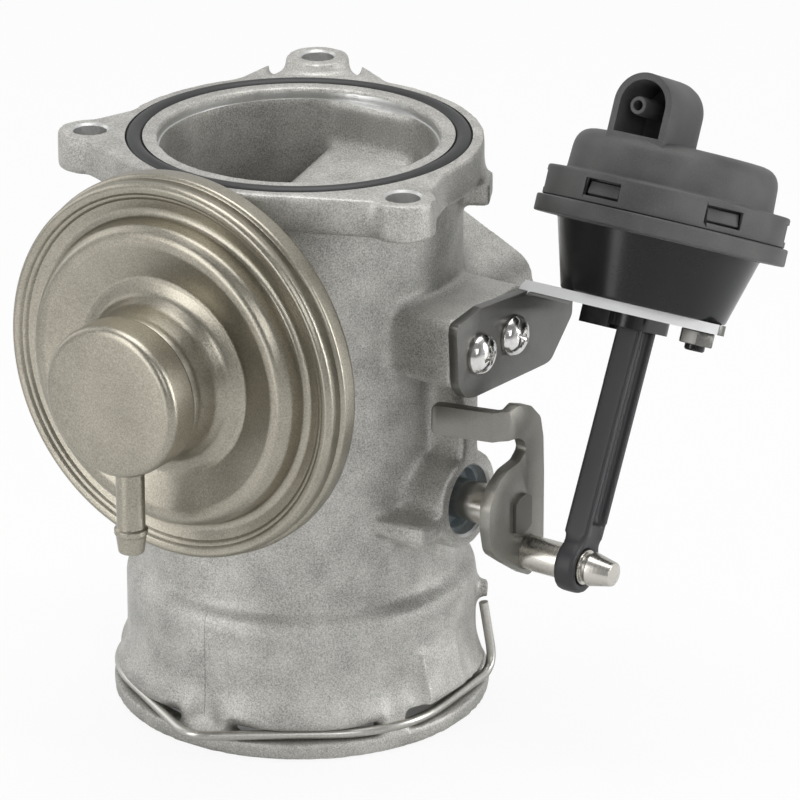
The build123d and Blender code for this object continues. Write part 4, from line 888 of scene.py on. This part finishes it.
screw_nickel = Finish("screw_nickel", Metallic=1.0)
spot = screw_nickel.place()
wear = screw_nickel.grain(spot, 0.8, 3.0)
screw_nickel.colour(wear, shade(0.55, 0.545, 0.53), shade(0.82, 0.81, 0.79))
screw_nickel.drive("Roughness", 0.08 + 0.14 * wear)
head_line = eased([(0, 2.75), (1.8, 2.7), (3.4, 1.9), (4.05, 0.75), (4.05, 0.0), (0, 0)],
                  [0, 3.0, 2.0, 0.8, 0.15, 0], steps=6)
for number, screw_y in enumerate(screw_places):
    place_here = (bracket_front, screw_y, screw_height)
    head = turned_piece(f"bracket_screw_{number + 1}", head_line, place_here, (1, 0, 0), 72, screw_nickel, "housing")
    turn = radians((12, 58)[number])
    crosses = []
    for quarter in (0, 1):
        angle = turn + quarter * pi / 2
        along_cross = Vector((0, cos(angle), sin(angle)))
        through_cross = Vector((0, -sin(angle), cos(angle)))
        wedge = eased([(-2.3, 3.6), (-1.9, 2.2), (-0.5, 0.5), (0.5, 0.5), (1.9, 2.2), (2.3, 3.6)],
                      0.3, closed=True, steps=3)
        crosses.append(slab_mesh("cross", wedge, -0.42, 0.42, place_here, along_cross, (1, 0, 0), through_cross))
    for cross in crosses:
        carve(head, [cross], screw_nickel)
    round_edges(head, 0.09, 2, 40)
    if number == 0:
        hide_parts("bracket_screws")
for node in ("can_screws", "stem_nut"):
    dress(node, screw_nickel)


# ---------------------------------------------------------------------------------------
# Vacuum actuator. Two glass-filled plastic mouldings: a glossy cone with a clamping lip
# below, and a matt cover that snaps over it, with a hood round its hose nipple.
def plastic(name, dark, light, roughness, spread, grain_size, depth):
    """A moulded plastic finish with fine texture."""
    finish = Finish(name, Metallic=0.0, IOR=1.4)
    spot_here = finish.place()
    fine = finish.grain(spot_here, grain_size, 3.0, 0.6)
    broad = finish.grain(spot_here, 12.0, 2.0)
    finish.colour((0.5 * fine + 1.1 * broad - 0.35).clamped(), dark, light)
    finish.drive("Roughness", roughness + spread * fine + 0.08 * broad)
    finish.relief(fine, depth, 0.5)
    return finish


gloss_black = plastic("gloss_black", shade(0.006, 0.006, 0.007), shade(0.013, 0.013, 0.014), 0.14, 0.08, 0.6, 0.008)
matte_black = plastic("matte_black", shade(0.028, 0.028, 0.028), shade(0.145, 0.145, 0.142), 0.36, 0.2, 0.3, 0.07)
rod_black = plastic("rod_black", shade(0.026, 0.026, 0.028), shade(0.046, 0.046, 0.049), 0.30, 0.14, 0.4, 0.02)

floor_low = 1.0
cone_top = 14.6
lip_top = 18.0
rim_top = 24.0
dome_top = 32.5
window_start = -33.5
body_line = eased(
    [(0, floor_low), (16.3, floor_low), (20.1, cone_top), (24.9, cone_top), (24.9, lip_top), (20.7, lip_top),
     (20.7, 17.2), (18.5, 17.2), (14.7, 2.6), (0, 2.6)],
    [0, 0.8, 0.6, 0.45, 0.45, 0.1, 0.1, 0.3, 0.8, 0], steps=5)
lower = turned_piece("actuator_body", body_line, actuator_middle, actuator_up, 192, gloss_black, "housing")
collar_outer = eased([(-4.1, -7.4), (4.1, -7.4), (4.1, 7.4), (-4.1, 7.4)], 4.0, closed=True, steps=8)
collar_inner = eased([(-3.1, -6.4), (3.1, -6.4), (3.1, 6.4), (-3.1, 6.4)], 3.0, closed=True, steps=8)
additions = [
    slab_mesh("collar", collar_outer, -3.6, floor_low + 0.8, *plate_frame),
    slab_mesh("foot", eased([(-11.1, -4.0), (-4.1, -4.0), (-4.1, 4.0), (-11.1, 4.0)], 0.6, True),
              -4.4, floor_low + 0.5, *plate_frame),
    lathe_mesh("stud", [(0, -5.0), (1.7, -5.0), (2.0, -4.7), (2.0, floor_low + 0.5), (0, floor_low + 0.5)],
               stud_spot, actuator_up, 48),
]


def around_actuator(turn):
    """Outward and sideways directions at one of the six windows."""
    angle = radians(window_start + 60 * turn)
    return side * cos(angle) + actuator_across * sin(angle), side * -sin(angle) + actuator_across * cos(angle)


for turn in range(6):
    outward, sideways = around_actuator(turn)
    nose = eased([(20.9, 17.6), (22.2, 17.6), (22.2, 19.4), (23.3, 19.8), (22.7, 22.2), (20.9, 22.4)],
                 0.25, closed=True, steps=3)
    additions.append(slab_mesh("nose", nose, -3.3, 3.6, actuator_middle, outward, actuator_up, sideways))
unite(lower, additions)
carve(lower, [slab_mesh("hole", collar_inner, -7, 4, *plate_frame)], gloss_black)
lower.data.materials.append(matte_black.material)
for polygon in lower.data.polygons:
    height = (polygon.center / mm - actuator_middle).dot(actuator_up)
    if height > cone_top - 0.3:
        polygon.material_index = 2
round_edges(lower, 0.15, 2, 40)
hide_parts("actuator_lower_body")

cover_section = eased(
    [(0, dome_top - 1.6), (15.8, dome_top - 1.6), (18.7, dome_top - 3.4), (18.7, lip_top + 0.1),
     (20.7, lip_top + 0.1), (20.7, 22.4), (22.9, 22.4), (22.9, lip_top + 0.1), (24.0, lip_top + 0.1),
     (24.0, rim_top), (20.5, rim_top), (20.1, dome_top), (0, dome_top + 0.25)],
    [0, 0.5, 0.5, 0, 0, 0, 0, 0, 0.3, 0.6, 0.6, 5.5, 0], steps=8)
cover = turned_piece("actuator_cover_shell", cover_section, actuator_middle, actuator_up, 192, matte_black, "housing")
hood_width = 12.6
hood_crown = dome_top + 12.2
hood_wall = 1.35
hood_start = 2.9
hood_mouth = 18.4


def arch(width, crown, foot, steps=28):
    """Outline of an arch: straight sides under a half circle."""
    radius = width / 2
    line = [(-radius, foot), (radius, foot)]
    for step in range(steps + 1):
        angle = pi * step / steps
        line.append((radius * cos(angle), crown - radius + radius * sin(angle)))
    return line


toward_mouth = -actuator_across
hood_layers = []
hood_insets = ((0, 2.3), (0.3, 1.5), (0.8, 0.85), (1.6, 0.35), (2.8, 0.08), (4.2, 0.0), (hood_mouth - hood_start, 0.0))
for level, inset in hood_insets:
    hood_layers.append((arch(hood_width - 2 * inset, hood_crown - inset, dome_top - 2.5), hood_start + level))
hood = stacked_mesh("hood", hood_layers, actuator_middle, side, actuator_up, toward_mouth)
unite(cover, [hood])
hollow = arch(hood_width - 2 * hood_wall, hood_crown - hood_wall, dome_top + 0.15)
core = eased([(0, lip_top - 2), (18.7, lip_top - 2), (18.7, dome_top - 3.4), (15.8, dome_top - 1.6),
              (0, dome_top - 1.6)], [0, 0, 0.5, 0.5, 0])
hollows = [
    slab_mesh("hollow", hollow, hood_start + 3.8, hood_mouth + 2, actuator_middle, side, actuator_up, toward_mouth),
    lathe_mesh("core", core, actuator_middle, actuator_up, 192),
]
for turn in range(6):
    outward, sideways = around_actuator(turn)
    hollows.append(slab_mesh("window", [(21.8, 19.3), (26, 19.3), (26, 22.7), (21.8, 22.7)], -4.0, 4.0,
                             actuator_middle, outward, actuator_up, sideways))
carve(cover, hollows, matte_black)
tube_line = eased([(1.0, 17.95), (1.7, 17.95), (1.85, 17.0), (1.9, 5.0), (1.0, 5.0)],
                  [0.1, 0.25, 0.3, 0, 0], closed=True)
tube_base = actuator_middle + actuator_up * (dome_top + 5.7) - side * 1.2
tube = lathe_mesh("tube", tube_line, tuple(tube_base), toward_mouth, 48, True)
tidy_normals(tube)
unite(cover, [tube])
round_edges(cover, 0.3)
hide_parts("actuator_cover")

nut = new_piece("actuator_clamp_nut", cad_copy("actuator_nut"), bracket_coat, "housing")
round_edges(nut, 0.25)
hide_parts("actuator_nut")


# ---------------------------------------------------------------------------------------
# Actuator rod. One plastic moulding: a ribbed shank like a small girder, an eye round the
# lever's pin, and a round head under the piston inside the actuator.
rod_voxel = 0.36
eye_top = 46.5
rod = new_piece("rod", cad_copy("actuator_rod"), rod_black, "rod")
modify(rod, "REMESH", mode="VOXEL", voxel_size=rod_voxel * mm)
settle(rod)
rod.data.calc_loop_triangles()


def rod_eye(spots):
    """The eye's zone, whose rims are rounder."""
    return spots[:, 2] < eye_top * mm


soften(rod.data, fill_rounds=26, ease_rounds=7, ease_share=0.4, gentle=rod_eye, reshape=lambda spots: spots)
rod.data.shade_smooth()
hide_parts("actuator_rod")


# ---------------------------------------------------------------------------------------
# Return springs. One presses on the exhaust valve's plates inside the can, one on the
# piston inside the actuator; each is a smooth copy of its CAD spring, held on the housing.
def pressed_spring(name, node, direction, travel):
    """A smooth copy of a CAD coil spring, held on the housing; its length along the direction is measured but not
    changed.
    """
    spring = new_piece(name, cad_copy(node), wire_steel, "housing")
    spring.data.shade_smooth()
    heights = [vertex.co.dot(direction) for vertex in spring.data.vertices]
    low, high = min(heights), max(heights)
    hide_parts(node)
    1 - travel * mm / (high - low)
    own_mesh(spring)


pressed_spring("valve_return_spring", "egr_spring", Vector((0, -1, 0)), 5.0)
pressed_spring("piston_return_spring", "actuator_spring", actuator_up, 11.6)


# ---------------------------------------------------------------------------------------
# Studio. A white floor, five soft panels round the object and above it, and two low strips
# for the actuator's cone; the room on the camera's side is dimmer, so metal gets dark bands.
floor_mesh = bpy.data.meshes.new("floor")
floor_mesh.from_pydata([(-3, -3, -0.0004), (3, -3, -0.0004), (3, 3, -0.0004), (-3, 3, -0.0004)], [], [(0, 1, 2, 3)])
floor = placed("floor", floor_mesh)
floor_paint = Finish("floor_paint", Base_Color=shade(0.9, 0.9, 0.9), Roughness=0.6)
glow = floor_paint.tree.nodes.new("ShaderNodeEmission")
spot = floor_paint.place()
beyond_ring = floor_paint.vector("LENGTH", spot, output=1) > 36.0
path = floor_paint.tree.nodes.new("ShaderNodeLightPath")
blend = floor_paint.tree.nodes.new("ShaderNodeMixShader")
share = Signal(floor_paint, path.outputs["Is Camera Ray"]) * beyond_ring * 0.9
floor_paint.tree.links.new(share.socket, blend.inputs[0])
floor_paint.tree.links.new(floor_paint.shader.outputs[0], blend.inputs[1])
floor_paint.tree.links.new(glow.outputs[0], blend.inputs[2])
ending = [n for n in floor_paint.tree.nodes if n.type == "OUTPUT_MATERIAL"][0]
floor_paint.tree.links.new(blend.outputs[0], ending.inputs["Surface"])
floor_mesh.materials.append(floor_paint.material)


class Surroundings(Finish):
    """The room round the object; its nodes are added as a finish's are."""

    def __init__(self, name):
        room = bpy.data.worlds.new(name)
        bpy.context.scene.world = room
        room.use_nodes = True
        self.tree = room.node_tree
        self.tree.nodes.clear()


camera_side = Vector((0.514, -0.770, 0.377))
studio = Surroundings("studio")
direction = studio.node("ShaderNodeTexCoord", output="Generated")
toward_camera = studio.vector("DOT_PRODUCT", direction, tuple(camera_side), output="Value")
dim = ((toward_camera - 0.15) * 1.7).clamped()
rays = studio.tree.nodes.new("ShaderNodeLightPath")
seen = Signal(studio, rays.outputs["Is Camera Ray"])
mirrored = Signal(studio, rays.outputs["Is Glossy Ray"])
through = Signal(studio, rays.outputs["Is Transmission Ray"])
backdrop = (seen + through + mirrored * (0.6 - 0.42 * dim)).clamped()
soft_room = studio.node("ShaderNodeBackground", {}, {"Color": shade(0.62, 0.63, 0.64), "Strength": 0.46})
white_room = studio.node("ShaderNodeBackground", {}, {"Color": shade(1, 1, 1), "Strength": 1.0})
dark_room = studio.node("ShaderNodeBackground", {}, {"Color": shade(0.05, 0.05, 0.05), "Strength": 1.0})
indirect = studio.node("ShaderNodeMixShader", {}, {0: (mirrored * dim * 0.75).clamped(), 1: soft_room, 2: dark_room})
whole = studio.node("ShaderNodeMixShader", {}, {0: backdrop, 1: indirect, 2: white_room})
sky_out = studio.tree.nodes.new("ShaderNodeOutputWorld")
studio.tree.links.new(whole.socket, sky_out.inputs["Surface"])

# Name, place and size in metres, and power in watts of each lamp.
lamp_aim = Vector((0.02, 0, 0.065))
panels = (
    ("left_panel", (-0.36, -0.86, 0.42), 0.20, 0.8, 1.6),
    ("far_left_panel", (-0.95, -0.10, 0.40), 0.45, 0.8, 1.1),
    ("right_panel", (0.90, 0.42, 0.36), 0.16, 0.7, 2.0),
    ("front_panel", (0.85, -0.75, 0.60), 0.35, 0.5, 2.2),
    ("top_panel", (0.0, 0.1, 1.0), 0.7, 0.7, 5.3),
    ("low_left_strip", (-0.08, -0.40, 0.17), 0.09, 0.34, 0.30),
    ("low_right_strip", (0.43, 0.16, 0.15), 0.05, 0.30, 0.35),
)
for name, spot_at, width, tall, power in panels:
    light = bpy.data.lights.new(name, "AREA")
    light.shape = "RECTANGLE"
    light.size = width
    light.size_y = tall
    light.energy = power
    lamp = placed(name, light)
    lamp.location = spot_at
    lamp.rotation_euler = (lamp_aim - Vector(spot_at)).to_track_quat("-Z", "Y").to_euler()

# Camera of the photograph, worked out from the round edges of flange, groove and can.
azimuth = radians(33.74)
elevation = radians(22.16)
roll = radians(0.11)
aim = Vector((23.66, 0, 66.2)) * mm
back = Vector((sin(azimuth) * cos(elevation), -cos(azimuth) * cos(elevation), sin(elevation)))
level_right = Vector((cos(azimuth), sin(azimuth), 0))
level_up = back.cross(level_right)
right = level_right * cos(roll) + level_up * sin(roll)
up = back.cross(right)
camera_data = bpy.data.cameras.new("photo_camera")
picture_width = 800.0
focal_pixels = 5125.79
camera_data.sensor_width = 36.0
camera_data.lens = focal_pixels * camera_data.sensor_width / picture_width
camera_data.clip_end = 20.0
camera = placed("photo_camera", camera_data)
camera.matrix_world = Matrix((
    (right.x, up.x, back.x, aim.x + back.x),
    (right.y, up.y, back.y, aim.y + back.y),
    (right.z, up.z, back.z, aim.z + back.z),
    (0, 0, 0, 1),
))
bpy.context.scene.camera = camera
bpy.context.scene.view_settings.view_transform = "Standard"
